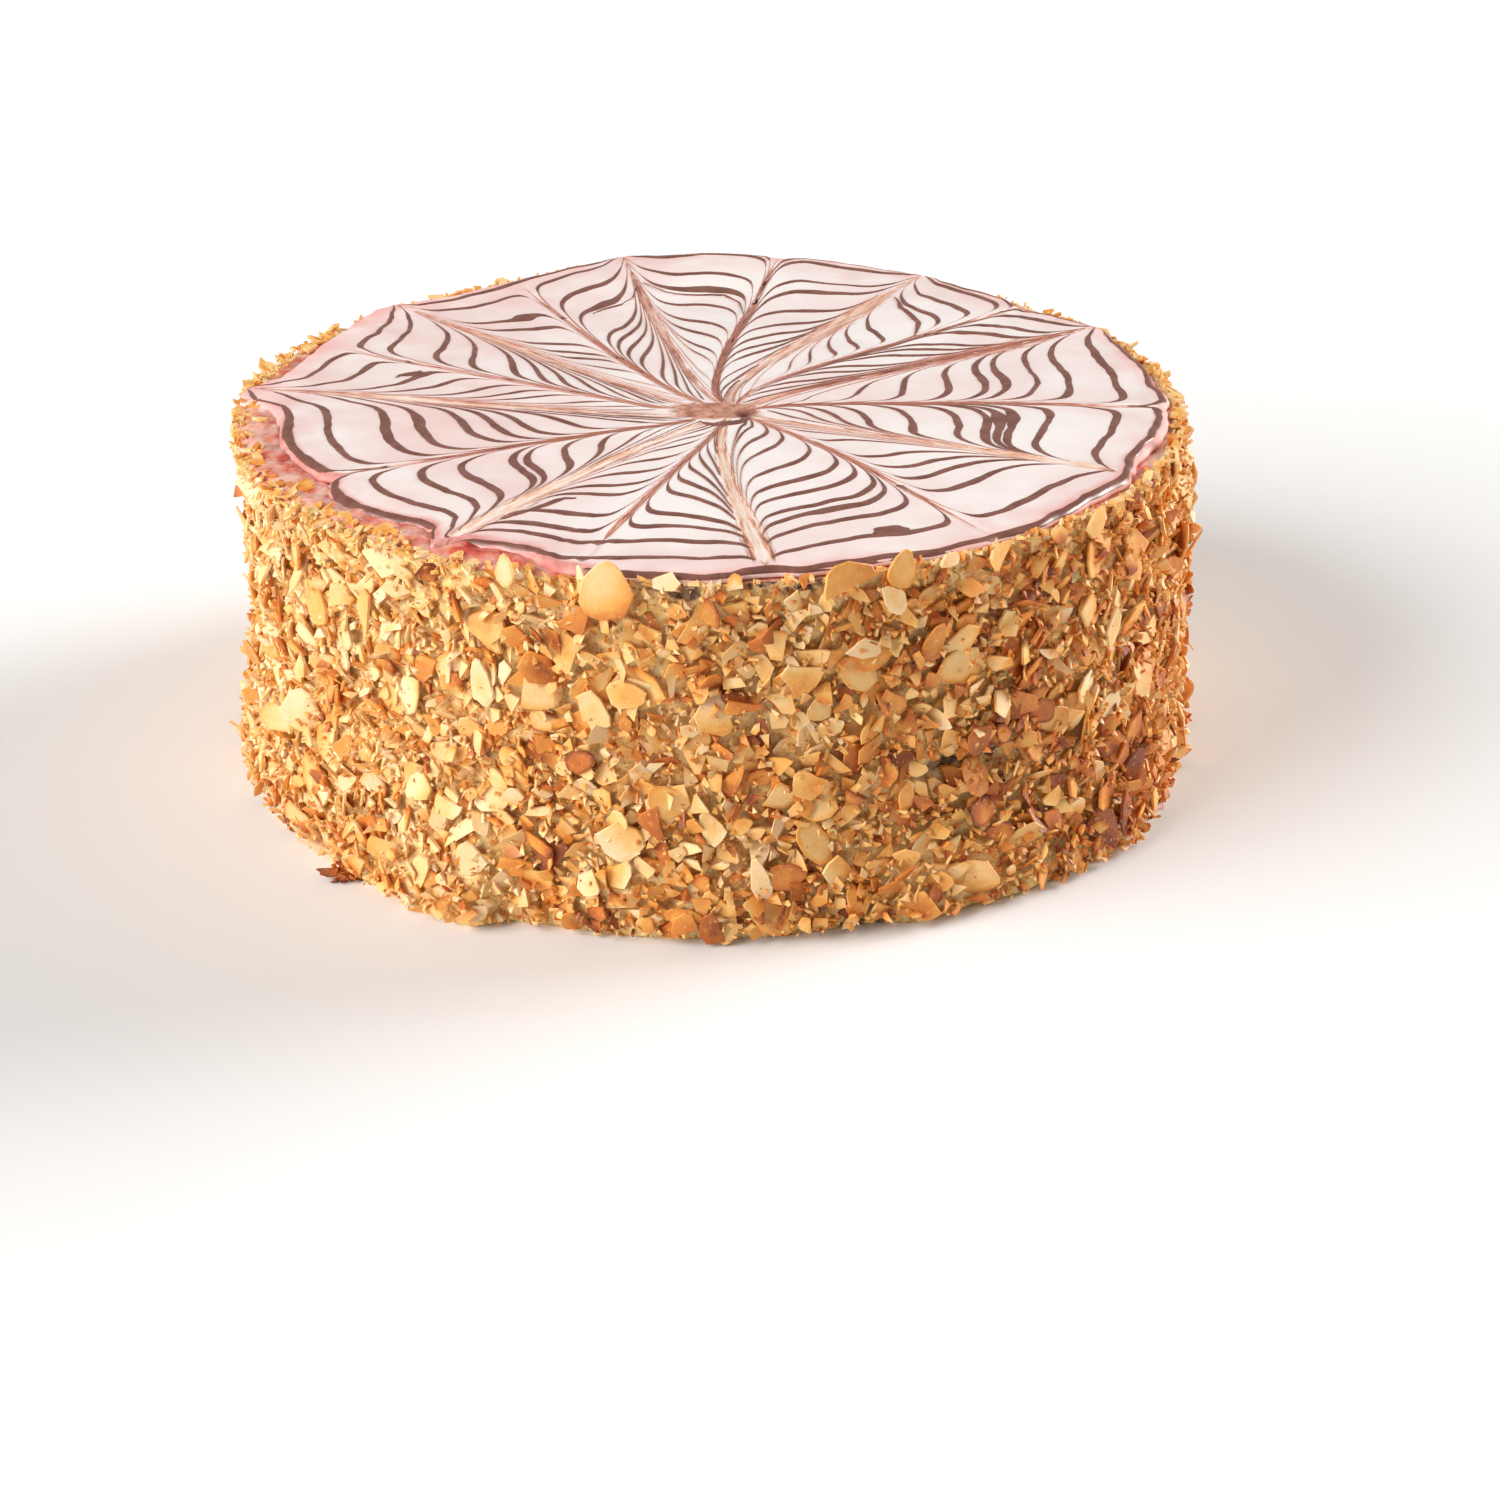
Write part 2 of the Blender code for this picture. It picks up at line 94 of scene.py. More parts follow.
# Each turn of the spiral, from the outermost: how far out it lies halfway between each stroke and the next,
# in hundredths of the way.
RINGS = (
    (98.7, 98.8, 98.4, 99.6, 99.4, 97.9, 96.5, 92.4, 93.6, 97.7, 98.3, 98.2, 99.2, 98.5, 98.9, 97.4),
    (90.5, 94.4, 95.5, 96.2, 98.4, 94.6, 90.3, 86.5, 85.1, 88.7, 89.1, 89.3, 89.2, 85.2, 87.3, 86.9),
    (79.7, 86.0, 87.6, 86.0, 87.6, 86.0, 78.1, 76.1, 73.6, 75.8, 78.7, 83.4, 78.6, 73.1, 69.0, 70.7),
    (72.1, 79.0, 79.9, 80.7, 80.5, 76.6, 71.2, 67.7, 66.2, 68.1, 69.5, 73.6, 70.1, 65.7, 60.1, 63.0),
    (64.7, 67.5, 63.2, 69.8, 72.1, 62.7, 59.6, 56.8, 57.4, 58.4, 57.1, 59.7, 63.2, 60.8, 58.8, 60.0),
    (60.1, 61.7, 55.5, 60.2, 61.0, 57.7, 53.7, 50.3, 50.0, 51.9, 54.1, 53.3, 53.2, 52.6, 53.2, 57.2),
    (51.7, 55.2, 48.4, 53.2, 53.0, 51.8, 48.9, 44.0, 43.7, 45.9, 44.5, 44.0, 46.2, 45.1, 45.0, 50.3),
    (41.5, 43.6, 41.2, 45.6, 44.5, 45.1, 40.7, 36.6, 34.1, 36.3, 35.2, 33.8, 39.3, 36.0, 30.3, 39.6),
    (31.4, 36.0, 34.7, 38.8, 38.5, 33.9, 30.0, 29.4, 26.4, 23.5, 25.7, 24.2, 32.2, 24.5, 21.2, 29.3),
    (20.3, 25.9, 20.7, 26.7, 27.0, 25.7, 22.0, 21.5, 20.1, 16.0, 19.4, 18.0, 24.2, 17.4, 16.5, 22.3),
    (11.0, 17.4, 13.0, 17.4, 19.0, 18.8, 15.0, 15.8, 14.0, 11.5, 13.0, 12.0, 16.6, 10.8, 12.5, 16.3),
    (6.7, 8.0, 8.0, 10.0, 12.0, 12.0, 10.0, 10.0, 9.0, 8.0, 8.0, 8.0, 12.2, 7.8, 9.0, 9.2),
)
SPIRAL_START = 12  # the stroke at which one turn of the spiral goes over into the next
# Where a turn is missing, because it runs into its neighbour: turn, degrees from and to.
MISSING = ((4, 309.0, 331.0),)
# Short lines and dabs beside the spiral, each by its stations: stroke number and share of the way to the
# next one, hundredths of the way out, mm wide.
DABS = (
    ((1.25, 80.5, 0.4), (1.6, 77.6, 1.2), (1.85, 73.5, 0.9), (1.99, 68.0, 0.3)),
    ((2.03, 66.0, 0.2), (2.14, 69.0, 0.8), (2.3, 73.4, 1.4), (2.5, 76.7, 1.6), (2.7, 79.2, 1.4),
     (2.9, 83.5, 0.4)),
    ((4.05, 66.0, 0.2), (4.15, 73.5, 0.5), (4.3, 76.9, 0.9), (4.55, 77.6, 0.7), (4.8, 79.4, 0.5),
     (4.95, 84.0, 0.2)),
    ((5.03, 82.0, 0.2), (5.1, 78.2, 0.5), (5.25, 75.9, 0.6), (5.5, 74.8, 0.8), (5.62, 73.6, 0.6)),
    ((8.2, 73.0, 1.6), (8.32, 75.0, 2.6), (8.38, 76.3, 1.3), (8.45, 76.5, 0.3)),
    ((11.1, 84.5, 0.8), (11.17, 78.0, 1.1), (11.22, 72.0, 1.6), (11.25, 68.0, 1.7), (11.29, 65.8, 0.9),
     (11.38, 64.6, 0.2)),
    ((10.6, 9.0, 0.4), (11.4, 8.4, 1.6), (12.3, 7.6, 2.4), (13.1, 6.4, 3.0), (13.35, 5.4, 3.4),
     (13.7, 4.8, 2.4), (14.0, 4.6, 1.4), (14.3, 4.8, 0.4)),
    ((13.55, 84.6, 1.4), (13.6, 83.0, 4.4), (13.67, 82.6, 4.4), (13.72, 84.0, 1.4)),
)
# A stroke draws what lies beside it along broadly, by a share of the way and over a width in mm, and
# sharply, by a share of what is left and over another width in mm.
OUTWARD_PULL = (0.12, 6.0, 0.62, 1.3)
INWARD_PULL = (0.11, 7.0, 0.55, 1.1)
PULL_GRIP = 0.12  # share of the way over which a stroke takes hold
BROAD_REACH = 0.8  # of the way to the next stroke, at most
SHARP_REACH = 0.12
INWARD_END_REACH = 15.0  # mm wider for each share of the way in from an inward stroke's end
# How far from a stroke the columns of the web lie, as shares of the way to the next one.
STROKE_STEPS = (
    0.004, 0.010, 0.018, 0.028, 0.040, 0.055, 0.073, 0.095, 0.12, 0.15, 0.185, 0.225, 0.27, 0.315, 0.36,
    0.405, 0.45,
)

FONDANT_RADIUS = 115.4 * MM
# The fondant's edge: degrees round the top, mm from the middle.
EDGE_STATIONS = (
    (0.0, 113.5), (5.0, 112.2), (15.0, 112.8), (20.0, 113.4), (24.0, 114.5), (26.0, 115.5), (30.0, 114.0),
    (34.0, 112.0), (37.0, 110.5), (38.5, 109.0), (40.0, 110.0), (45.0, 112.2), (50.0, 113.0),
    (55.0, 114.0), (58.0, 115.6), (62.0, 114.8), (70.0, 115.6), (76.0, 115.2), (79.0, 112.8),
    (82.0, 113.3), (90.0, 114.0), (96.0, 113.5), (100.0, 115.6), (102.0, 116.2), (104.0, 114.8),
    (106.0, 113.5), (110.0, 112.0), (115.0, 110.5), (120.0, 109.5), (130.0, 110.5), (135.0, 113.2),
    (138.0, 116.0), (140.0, 116.2), (142.0, 114.4), (146.0, 112.5), (150.0, 111.0), (155.0, 109.5),
    (160.0, 108.3), (165.0, 108.0), (170.0, 108.8), (173.0, 112.0), (175.0, 115.0), (178.0, 115.6),
    (180.0, 114.4), (181.5, 110.0), (183.0, 106.2), (186.0, 104.4), (190.0, 104.0), (195.0, 104.9),
    (200.0, 104.9), (205.0, 104.3), (210.0, 103.0), (213.0, 101.2), (214.5, 104.0), (217.0, 106.5),
    (220.0, 107.7), (223.0, 108.2), (226.0, 107.0), (230.0, 105.7), (233.0, 104.5), (235.0, 105.5),
    (237.0, 109.0), (238.3, 112.3), (239.3, 110.0), (241.0, 107.0), (245.0, 106.8), (248.0, 107.0),
    (250.5, 108.6), (252.0, 110.8), (254.0, 113.8), (257.0, 114.8), (262.0, 115.4), (266.0, 115.9),
    (270.0, 116.3), (273.0, 115.4), (275.0, 113.8), (278.0, 113.5), (281.0, 114.2), (288.0, 113.9),
    (292.0, 113.3), (296.0, 114.6), (303.0, 114.2), (310.0, 114.7), (315.0, 113.8), (320.0, 112.9),
    (325.0, 113.6), (328.0, 114.0), (332.0, 112.2), (336.0, 111.0), (340.0, 111.4), (345.0, 112.6),
    (350.0, 113.0), (353.0, 112.8), (355.5, 112.0), (358.0, 113.3), (360.0, 113.5),
)
# How the fondant rounds over at its edge: mm in from it, mm down.
TOP_ROUND = ((3.6, 0.0), (2.4, 0.06), (1.5, 0.28), (0.75, 0.68), (0.22, 1.2), (0.0, 1.75))
UNDERSIDE = (0.35, 14.0, 60.0)  # mm in from the edge, of each row below


def linear(*channels):
    """A colour by its red, green and blue as seen on a screen, 0 to 255, as the light that a shader takes."""
    shares = [channel / 255.0 for channel in channels]
    return tuple(s / 12.92 if s <= 0.04045 else ((s + 0.055) / 1.055) ** 2.4 for s in shares) + (1.0,)


def smooth(low, high, x):
    """0 below low and 1 above high, and smoothly between."""
    t = np.clip((x - low) / (high - low), 0.0, 1.0)
    return t * t * (3.0 - 2.0 * t)


def between(stations, x):
    """Smoothly between (place, value) stations in rising order of place."""
    places, values = np.array(stations).T
    i = np.clip(np.searchsorted(places, x, side="right") - 1, 0, len(places) - 2)
    return values[i] + (values[i + 1] - values[i]) * smooth(places[i], places[i + 1], x)


def ripple(points, size, offset=0.0):
    """Smooth noise of about -0.5 to 0.5 at each point, with lumps of about that size."""
    places = (points / size + offset).reshape(-1, 3).tolist()
    return np.array([noise.noise(place) for place in places]).reshape(points.shape[:-1])


def round_points(angle, radius, height):
    """Points by angle, radius and height."""
    angle, radius, height = np.broadcast_arrays(angle, radius, height)
    return np.stack([radius * np.cos(angle), radius * np.sin(angle), height], axis=-1)


def lean(points):
    """Where points of an upright, level cake lie on the real one: its top is off, slopes and swells."""
    share = points[..., 2:] / CAKE_HEIGHT
    off = (np.degrees(np.arctan2(points[..., 1], points[..., 0])) - SWELL_TURN) / SWELL_SPREAD
    swell = SWELL * np.exp(-(off**2)) * smooth(*SWELL_RADII, np.hypot(points[..., 0], points[..., 1]) / MM)
    rise = points[..., :2] @ TOP_SLOPE + swell * smooth(*SWELL_LEVELS, share[..., 0])
    leaned = points + TOP_SHIFT * share + CENTRING
    leaned[..., 2] += share[..., 0] * rise
    return leaned


# ---------------------------------------------------------------- making pieces


def mesh_piece(name, points, faces, finish, marks, sharp=None):
    """A piece with its finish. Marks are named values, one for each point, for the finish to read.

    Where sharp is given, edges with a larger angle in degrees are creases.
    """
    mesh = bpy.data.meshes.new(name)
    mesh.from_pydata(points.reshape(-1, 3).tolist(), [], faces)
    mesh.polygons.foreach_set("use_smooth", np.full(len(mesh.polygons), True))
    for mark, values in marks.items():
        kept = mesh.attributes.new(mark, "FLOAT", "POINT")
        kept.data.foreach_set("value", np.ascontiguousarray(values, dtype=np.float32).ravel())
    mesh.materials.append(finish)
    mesh.validate()
    mesh.update()
    piece = bpy.data.objects.new(name, mesh)
    bpy.context.scene.collection.objects.link(piece)
    if sharp:
        mesh.set_sharp_from_angle(angle=math.radians(sharp))
    return piece


def closed_round(rows):
    """Points and faces of a closed body: rows of points from the middle of its top to that of its base."""
    count, columns = rows.shape[:2]
    points = np.concatenate([rows.reshape(-1, 3), rows[0].mean(0)[None], rows[-1].mean(0)[None]])
    row, column = np.meshgrid(np.arange(count - 1), np.arange(columns), indexing="ij")
    here, beside = row * columns + column, row * columns + (column + 1) % columns
    faces = np.stack([here + columns, beside + columns, beside, here], axis=-1).reshape(-1, 4).tolist()
    top, base = count * columns, count * columns + 1
    last = (count - 1) * columns
    faces += [(top, i, (i + 1) % columns) for i in range(columns)]
    faces += [(base, last + (i + 1) % columns, last + i) for i in range(columns)]
    return points, faces


def with_middles(values):
    """A mark for each point of closed_round, from its values on the rows."""
    return np.concatenate([values.ravel(), [values[0].mean(), values[-1].mean()]])


# ---------------------------------------------------------------- finishes


def node(tree, kind, **settings):
    """A node with its settings, and values for its inputs, by name."""
    made = tree.nodes.new(kind)
    for name, value in settings.items():
        if name in made.bl_rna.properties:
            setattr(made, name, value)
        else:
            made.inputs[name.replace("_", " ")].default_value = value
    return made


def mark_of(tree, name):
    """The value that a mark has at each point."""
    return node(tree, "ShaderNodeAttribute", attribute_name=name).outputs["Fac"]


def ramp(tree, source, stops):
    """Colours by a value, from (place, colour) stops."""
    made = node(tree, "ShaderNodeValToRGB")
    elements = made.color_ramp.elements
    elements[0].position, elements[1].position = stops[0][0], stops[-1][0]
    elements[0].color, elements[1].color = stops[0][1], stops[-1][1]
    for place, colour in stops[1:-1]:
        elements.new(place).color = colour
    tree.links.new(source, made.inputs["Fac"])
    return made.outputs["Color"]


def mixed(tree, amount, first, second):
    """First colour where amount is 0, and the second where it is 1."""
    made = node(tree, "ShaderNodeMix", data_type="RGBA")
    for source, target in ((amount, 0), (first, 6), (second, 7)):
        if isinstance(source, (tuple, float)):
            made.inputs[target].default_value = source
        else:
            tree.links.new(source, made.inputs[target])
    return made.outputs[2]


def mask(tree, source, low, high):
    """0 where the source is below low, 1 where it is above high, and evenly between."""
    return ramp(tree, source, ((low, (0.0, 0.0, 0.0, 1.0)), (high, (1.0, 1.0, 1.0, 1.0))))


def worked(tree, operation, *sources, clamp=False):
    """What one Math node makes of values."""
    made = node(tree, "ShaderNodeMath", operation=operation, use_clamp=clamp)
    for source, target in zip(sources, made.inputs):
        if isinstance(source, (int, float)):
            target.default_value = source
        else:
            tree.links.new(source, target)
    return made.outputs[0]


def rescaled(tree, source, times, more):
    """The source, so many times, and more."""
    return worked(tree, "MULTIPLY_ADD", source, times, more)


def new_group(name, inputs, outputs):
    """A node group's tree, the node of what it is given and the node of its results."""
    tree = bpy.data.node_groups.new(name, "ShaderNodeTree")
    for label, value in inputs.items():
        socket = tree.interface.new_socket(label, in_out="INPUT", socket_type="NodeSocketFloat")
        socket.default_value = value
    for label in outputs:
        tree.interface.new_socket(label, in_out="OUTPUT", socket_type="NodeSocketFloat")
    return tree, node(tree, "NodeGroupInput"), node(tree, "NodeGroupOutput")


def patches_group():
    """Uneven patches of a size in mm: how much of a second colour or gloss shows, and the plain noise."""
    inputs = {"Size": 5.0, "Balance": 0.5, "Softness": 0.2, "Roughness": 0.55}
    tree, given, result = new_group("uneven_patches", inputs, ("Patches", "Raw"))
    place = node(tree, "ShaderNodeTexCoord")
    lumps = node(tree, "ShaderNodeTexNoise", Detail=3.0)
    tree.links.new(place.outputs["Object"], lumps.inputs["Vector"])
    scale = worked(tree, "DIVIDE", 1.0 / MM, given.outputs["Size"])
    tree.links.new(scale, lumps.inputs["Scale"])
    tree.links.new(given.outputs["Roughness"], lumps.inputs["Roughness"])
    raw = lumps.outputs["Fac"]
    edges = node(tree, "ShaderNodeMapRange", interpolation_type="SMOOTHSTEP")
    tree.links.new(raw, edges.inputs["Value"])
    low = worked(tree, "SUBTRACT", given.outputs["Balance"], given.outputs["Softness"])
    high = worked(tree, "ADD", given.outputs["Balance"], given.outputs["Softness"])
    tree.links.new(low, edges.inputs["From Min"])
    tree.links.new(high, edges.inputs["From Max"])
    tree.links.new(edges.outputs["Result"], result.inputs["Patches"])
    tree.links.new(raw, result.inputs["Raw"])
    return tree


def grain_group():
    """Fine relief for a bump: soft pits and grains of a size in mm."""
    tree, given, result = new_group("fine_grain", {"Size": 1.0, "Pits": 0.5}, ("Height",))
    place = node(tree, "ShaderNodeTexCoord")
    grains = node(tree, "ShaderNodeTexNoise", Detail=4.0, Roughness=0.6)
    pits = node(tree, "ShaderNodeTexVoronoi")
    scale = worked(tree, "DIVIDE", 1.0 / MM, given.outputs["Size"])
    for texture in (grains, pits):
        tree.links.new(place.outputs["Object"], texture.inputs["Vector"])
        tree.links.new(scale, texture.inputs["Scale"])
    deep = worked(tree, "MULTIPLY", pits.outputs["Distance"], given.outputs["Pits"])
    tree.links.new(worked(tree, "ADD", grains.outputs["Fac"], deep), result.inputs["Height"])
    return tree


UNEVEN_PATCHES = patches_group()
FINE_GRAIN = grain_group()


def patches(tree, size, balance=0.5, softness=0.2, output="Patches"):
    """Uneven patches of a size in mm. A higher balance leaves fewer of them."""
    made = node(tree, "ShaderNodeGroup", node_tree=UNEVEN_PATCHES)
    made.inputs["Size"].default_value = size
    made.inputs["Balance"].default_value = balance
    made.inputs["Softness"].default_value = softness
    return made.outputs[output]


def new_finish(name, roughness, **sockets):
    """A material, its nodes and its shader. Sockets are the shader's own plain values."""
    material = bpy.data.materials.new(name)
    material.use_nodes = True
    shader = material.node_tree.nodes["Principled BSDF"]
    shader.inputs["Roughness"].default_value = roughness
    for socket, value in sockets.items():
        shader.inputs[socket.replace("_", " ")].default_value = value
    return material, material.node_tree, shader


def grained(tree, shader, size, depth, pits=0.5):
    """Gives a finish fine relief, of a size and depth in mm."""
    grain = node(tree, "ShaderNodeGroup", node_tree=FINE_GRAIN)
    grain.inputs["Size"].default_value = size
    grain.inputs["Pits"].default_value = pits
    bump = node(tree, "ShaderNodeBump", Strength=1.0, Distance=depth * MM)
    tree.links.new(grain.outputs["Height"], bump.inputs["Height"])
    tree.links.new(bump.outputs["Normal"], shader.inputs["Normal"])


def toasted_almond():
    """Sliced almond, from raw ivory to dark toast, paler at its broken edges and faintly oily."""
    glow = {"Subsurface_Weight": 0.25, "Subsurface_Scale": 1.4 * MM}
    material, tree, shader = new_finish("toasted_almond", 0.5, IOR=1.45, **glow)
    blotch = rescaled(tree, patches(tree, 2.6, output="Raw"), 0.34, -0.17)
    # The toast mark also carries painted light and shade: the coat's almonds are paler on the lit side of the
    # cake and browner on the shaded side.
    level = worked(tree, "ADD", mark_of(tree, "toast"), blotch, clamp=True)
    colour = ramp(
        tree,
        level,
        (
            (0.0, linear(251, 216, 170)),
            (0.22, linear(246, 199, 132)),
            (0.42, linear(239, 176, 92)),
            (0.60, linear(224, 145, 62)),
            (0.78, linear(198, 110, 44)),
            (1.0, linear(130, 62, 26)),
        ),
    )
    dust = worked(tree, "MULTIPLY", patches(tree, 0.9, 0.66, 0.05), 0.45)
    tree.links.new(mixed(tree, dust, colour, linear(250, 214, 156)), shader.inputs["Base Color"])
    tree.links.new(rescaled(tree, patches(tree, 3.5), 0.22, 0.38), shader.inputs["Roughness"])
    grained(tree, shader, 0.7, 0.10)
    return material


def butter_cream():
    """Pale cream with almond crumbs in it, and dark sponge where it was spread thin; the same dark colour is
    painted shadow at the foot.
    """
    glow = {"Subsurface_Weight": 0.25, "Subsurface_Scale": 2.0 * MM}
    material, tree, shader = new_finish("butter_cream", 0.7, **glow)
    cream = mixed(tree, patches(tree, 6.0), linear(254, 226, 164), linear(245, 198, 122))
    crumbs = mixed(tree, patches(tree, 1.3, 0.60, 0.06), cream, linear(226, 162, 86))
    sponge_and_foot_shade = mixed(tree, patches(tree, 1.8, 0.5, 0.12), linear(78, 54, 42), linear(172, 138, 102))
    thin = worked(tree, "ADD", mark_of(tree, "sponge_and_foot_shade"), rescaled(tree, patches(tree, 3.0), 0.5, -0.35))
    # Where the mark is high at the foot, the dark sponge colour is painted shadow.
    tree.links.new(mixed(tree, mask(tree, thin, 0.42, 0.62), crumbs, sponge_and_foot_shade), shader.inputs["Base Color"])
    grained(tree, shader, 0.8, 0.35)
    return material


def poured_fondant():
    """White fondant with pink patches, stained salmon and brown along the strokes of the knife."""
    material, tree, shader = new_finish("poured_fondant", 0.2, Coat_Roughness=0.12)
    pink = mixed(tree, patches(tree, 34.0, 0.52, 0.16), linear(254, 245, 241), linear(249, 227, 223))
    deep = worked(tree, "MULTIPLY", mark_of(tree, "pinkness"), patches(tree, 12.0, 0.45, 0.25))
    pink = mixed(tree, deep, pink, linear(238, 180, 174))
    across, along = mark_of(tree, "across"), mark_of(tree, "along")
    wobble = worked(tree, "MULTIPLY", patches(tree, 7.0, output="Raw"), 1.5)
    spot = node(tree, "ShaderNodeCombineXYZ")
    tree.links.new(worked(tree, "ADD", across, wobble), spot.inputs["X"])
    tree.links.new(worked(tree, "MULTIPLY", along, 0.07), spot.inputs["Y"])
    tree.links.new(worked(tree, "MULTIPLY", mark_of(tree, "stroke"), 7.3), spot.inputs["Z"])
    strands = node(tree, "ShaderNodeTexNoise", Scale=1.5, Detail=3.0, Roughness=0.65)
    tree.links.new(spot.outputs["Vector"], strands.inputs["Vector"])
    strand = strands.outputs["Fac"]
    salmon = ramp(
        tree,
        strand,
        (
            (0.30, linear(248, 216, 202)),
            (0.42, linear(234, 178, 154)),
            (0.54, linear(216, 146, 122)),
            (0.64, linear(176, 108, 90)),
            (0.74, linear(132, 84, 72)),
        ),
    )
    band = mark_of(tree, "band")
    off = worked(tree, "SUBTRACT", strand, 0.5)
    light = ramp(
        tree,
        rescaled(tree, off, -2.4, band),
        (
            (0.12, linear(166, 102, 84)),
            (0.30, linear(206, 140, 110)),
            (0.48, linear(232, 172, 138)),
            (0.70, linear(246, 204, 176)),
            (1.0, linear(253, 236, 224)),
        ),
    )
    stain = mixed(tree, mark_of(tree, "peach"), salmon, light)
    shown = mask(tree, rescaled(tree, off, 1.5, band), 0.25, 0.60)
    within = mask(tree, band, 0.02, 0.16)
    colour = mixed(tree, worked(tree, "MULTIPLY", shown, within), pink, stain)
    smear = worked(tree, "ADD", mark_of(tree, "smear"), rescaled(tree, patches(tree, 3.0), 0.3, -0.15))
    smeared = mixed(tree, patches(tree, 2.4, 0.5, 0.15), linear(218, 160, 134), linear(172, 112, 92))
    colour = mixed(tree, mask(tree, smear, 0.35, 0.6), colour, smeared)
    colour = mixed(tree, mark_of(tree, "pinch"), colour, linear(96, 42, 36))
    wet = worked(tree, "MULTIPLY", mark_of(tree, "wet"), patches(tree, 7.0, 0.3, 0.3))
    jam = mixed(tree, patches(tree, 2.6), linear(228, 150, 138), linear(214, 112, 100))
    tree.links.new(mixed(tree, wet, colour, jam), shader.inputs["Base Color"])
    dull = mask(tree, mark_of(tree, "pinkness"), 0.5, 0.85)
    gloss = rescaled(tree, patches(tree, 8.0), 0.12, rescaled(tree, dull, 0.4, 0.14))
    tree.links.new(gloss, shader.inputs["Roughness"])
    tree.links.new(rescaled(tree, dull, -0.22, 0.25), shader.inputs["Coat Weight"])
    grained(tree, shader, 3.0, 0.03, 0.0)
    return material


def piped_chocolate():
    """Chocolate icing, bleeding into the fondant at the sides of each line and thinned by the strokes."""
    material, tree, shader = new_finish("piped_chocolate", 0.32)
    dark = mixed(tree, patches(tree, 4.0), linear(118, 74, 63), linear(140, 94, 81))
    thin = mixed(tree, mark_of(tree, "drawn"), dark, linear(186, 122, 102))
    fringe = worked(tree, "ADD", mark_of(tree, "inside"), rescaled(tree, patches(tree, 1.5), 0.16, -0.08))
    bled = ramp(
        tree,
        fringe,
        ((0.0, linear(250, 226, 220)), (0.18, linear(228, 172, 156)), (0.5, linear(190, 122, 104))),
    )
    tree.links.new(mixed(tree, mask(tree, fringe, 0.05, 0.5), bled, thin), shader.inputs["Base Color"])
    tree.links.new(rescaled(tree, patches(tree, 5.0), 0.15, 0.22), shader.inputs["Roughness"])
    grained(tree, shader, 1.6, 0.03, 0.0)
    return material


def wet_jam():
    """Thin glossy jam, pale where it soaks into cream and deep red where it pools."""
    material, tree, shader = new_finish("wet_jam", 0.1, Coat_Weight=0.6, Coat_Roughness=0.06)
    pool = worked(tree, "ADD", mark_of(tree, "pool"), rescaled(tree, patches(tree, 4.5), 0.7, -0.28))
    colour = ramp(
        tree,
        pool,
        (
            (0.0, linear(245, 192, 174)),
            (0.3, linear(238, 160, 142)),
            (0.6, linear(224, 104, 84)),
            (1.0, linear(182, 32, 28)),
        ),
    )
    crumbs = worked(tree, "MULTIPLY", patches(tree, 2.2, 0.62, 0.05), 0.7)
    tree.links.new(mixed(tree, crumbs, colour, linear(232, 150, 100)), shader.inputs["Base Color"])
    tree.links.new(rescaled(tree, patches(tree, 3.0), 0.18, 0.06), shader.inputs["Roughness"])
    grained(tree, shader, 1.8, 0.25)
    return material


# ---------------------------------------------------------------- the web on the fondant


EDGE_TURNS = np.linspace(0.0, TAU, 2881)
EDGE_ROUNDS = 16  # of closing in on the edge


def from_web(angle, reach, height):
    """Points on the upright, level cake, by angle and distance from the middle of the web."""
    return round_points(angle, reach, height) + (WEB_CENTRE - TOP_SHIFT)


def edge_table():
    """How far the fondant's edge is from the middle of the web, for each of EDGE_TURNS."""
    wander = round_points(EDGE_TURNS, 30.0 * MM, 0.0)
    uneven = 0.6 * ripple(wander, 3.2 * MM) + 0.5 * ripple(wander, 1.2 * MM, 5.0)
    radii = (between(EDGE_STATIONS, np.degrees(EDGE_TURNS) % 360.0) + uneven) * MM
    radii[-1] = radii[0]
    reach = np.full_like(EDGE_TURNS, FONDANT_RADIUS)
    for _ in range(EDGE_ROUNDS):
        spot = from_web(EDGE_TURNS, reach, 0.0)
        turn = np.arctan2(spot[:, 1], spot[:, 0]) % TAU
        reach += np.interp(turn, EDGE_TURNS, radii) - np.hypot(spot[:, 0], spot[:, 1])
    return reach


EDGE_REACH = edge_table()


def edge_at(angle):
    """How far the fondant's edge is from the middle of the web, at any angle."""
    return np.interp(angle % TAU, EDGE_TURNS, EDGE_REACH)


STROKE_COUNT = len(STROKES)
STROKE_TURN, STROKE_MISS, STAIN_TIMES, STAIN_PEACH, STROKE_END = np.array([*STROKES, STROKES[0]]).T
STROKE_TURN = np.unwrap(np.radians(STROKE_TURN))
STROKE_MISS = STROKE_MISS * MM
STROKE_END = STROKE_END / 100.0


def stroke_angle(number, reach):
    """The angle at which a stroke is that far out. It is straight, and passes beside the middle."""
    miss = STROKE_MISS[number]
    bend = np.arcsin(miss / np.hypot(reach, INNERMOST))
    return STROKE_TURN[number] + bend - np.arcsin(miss / math.hypot(STROKE_RADIUS, INNERMOST))


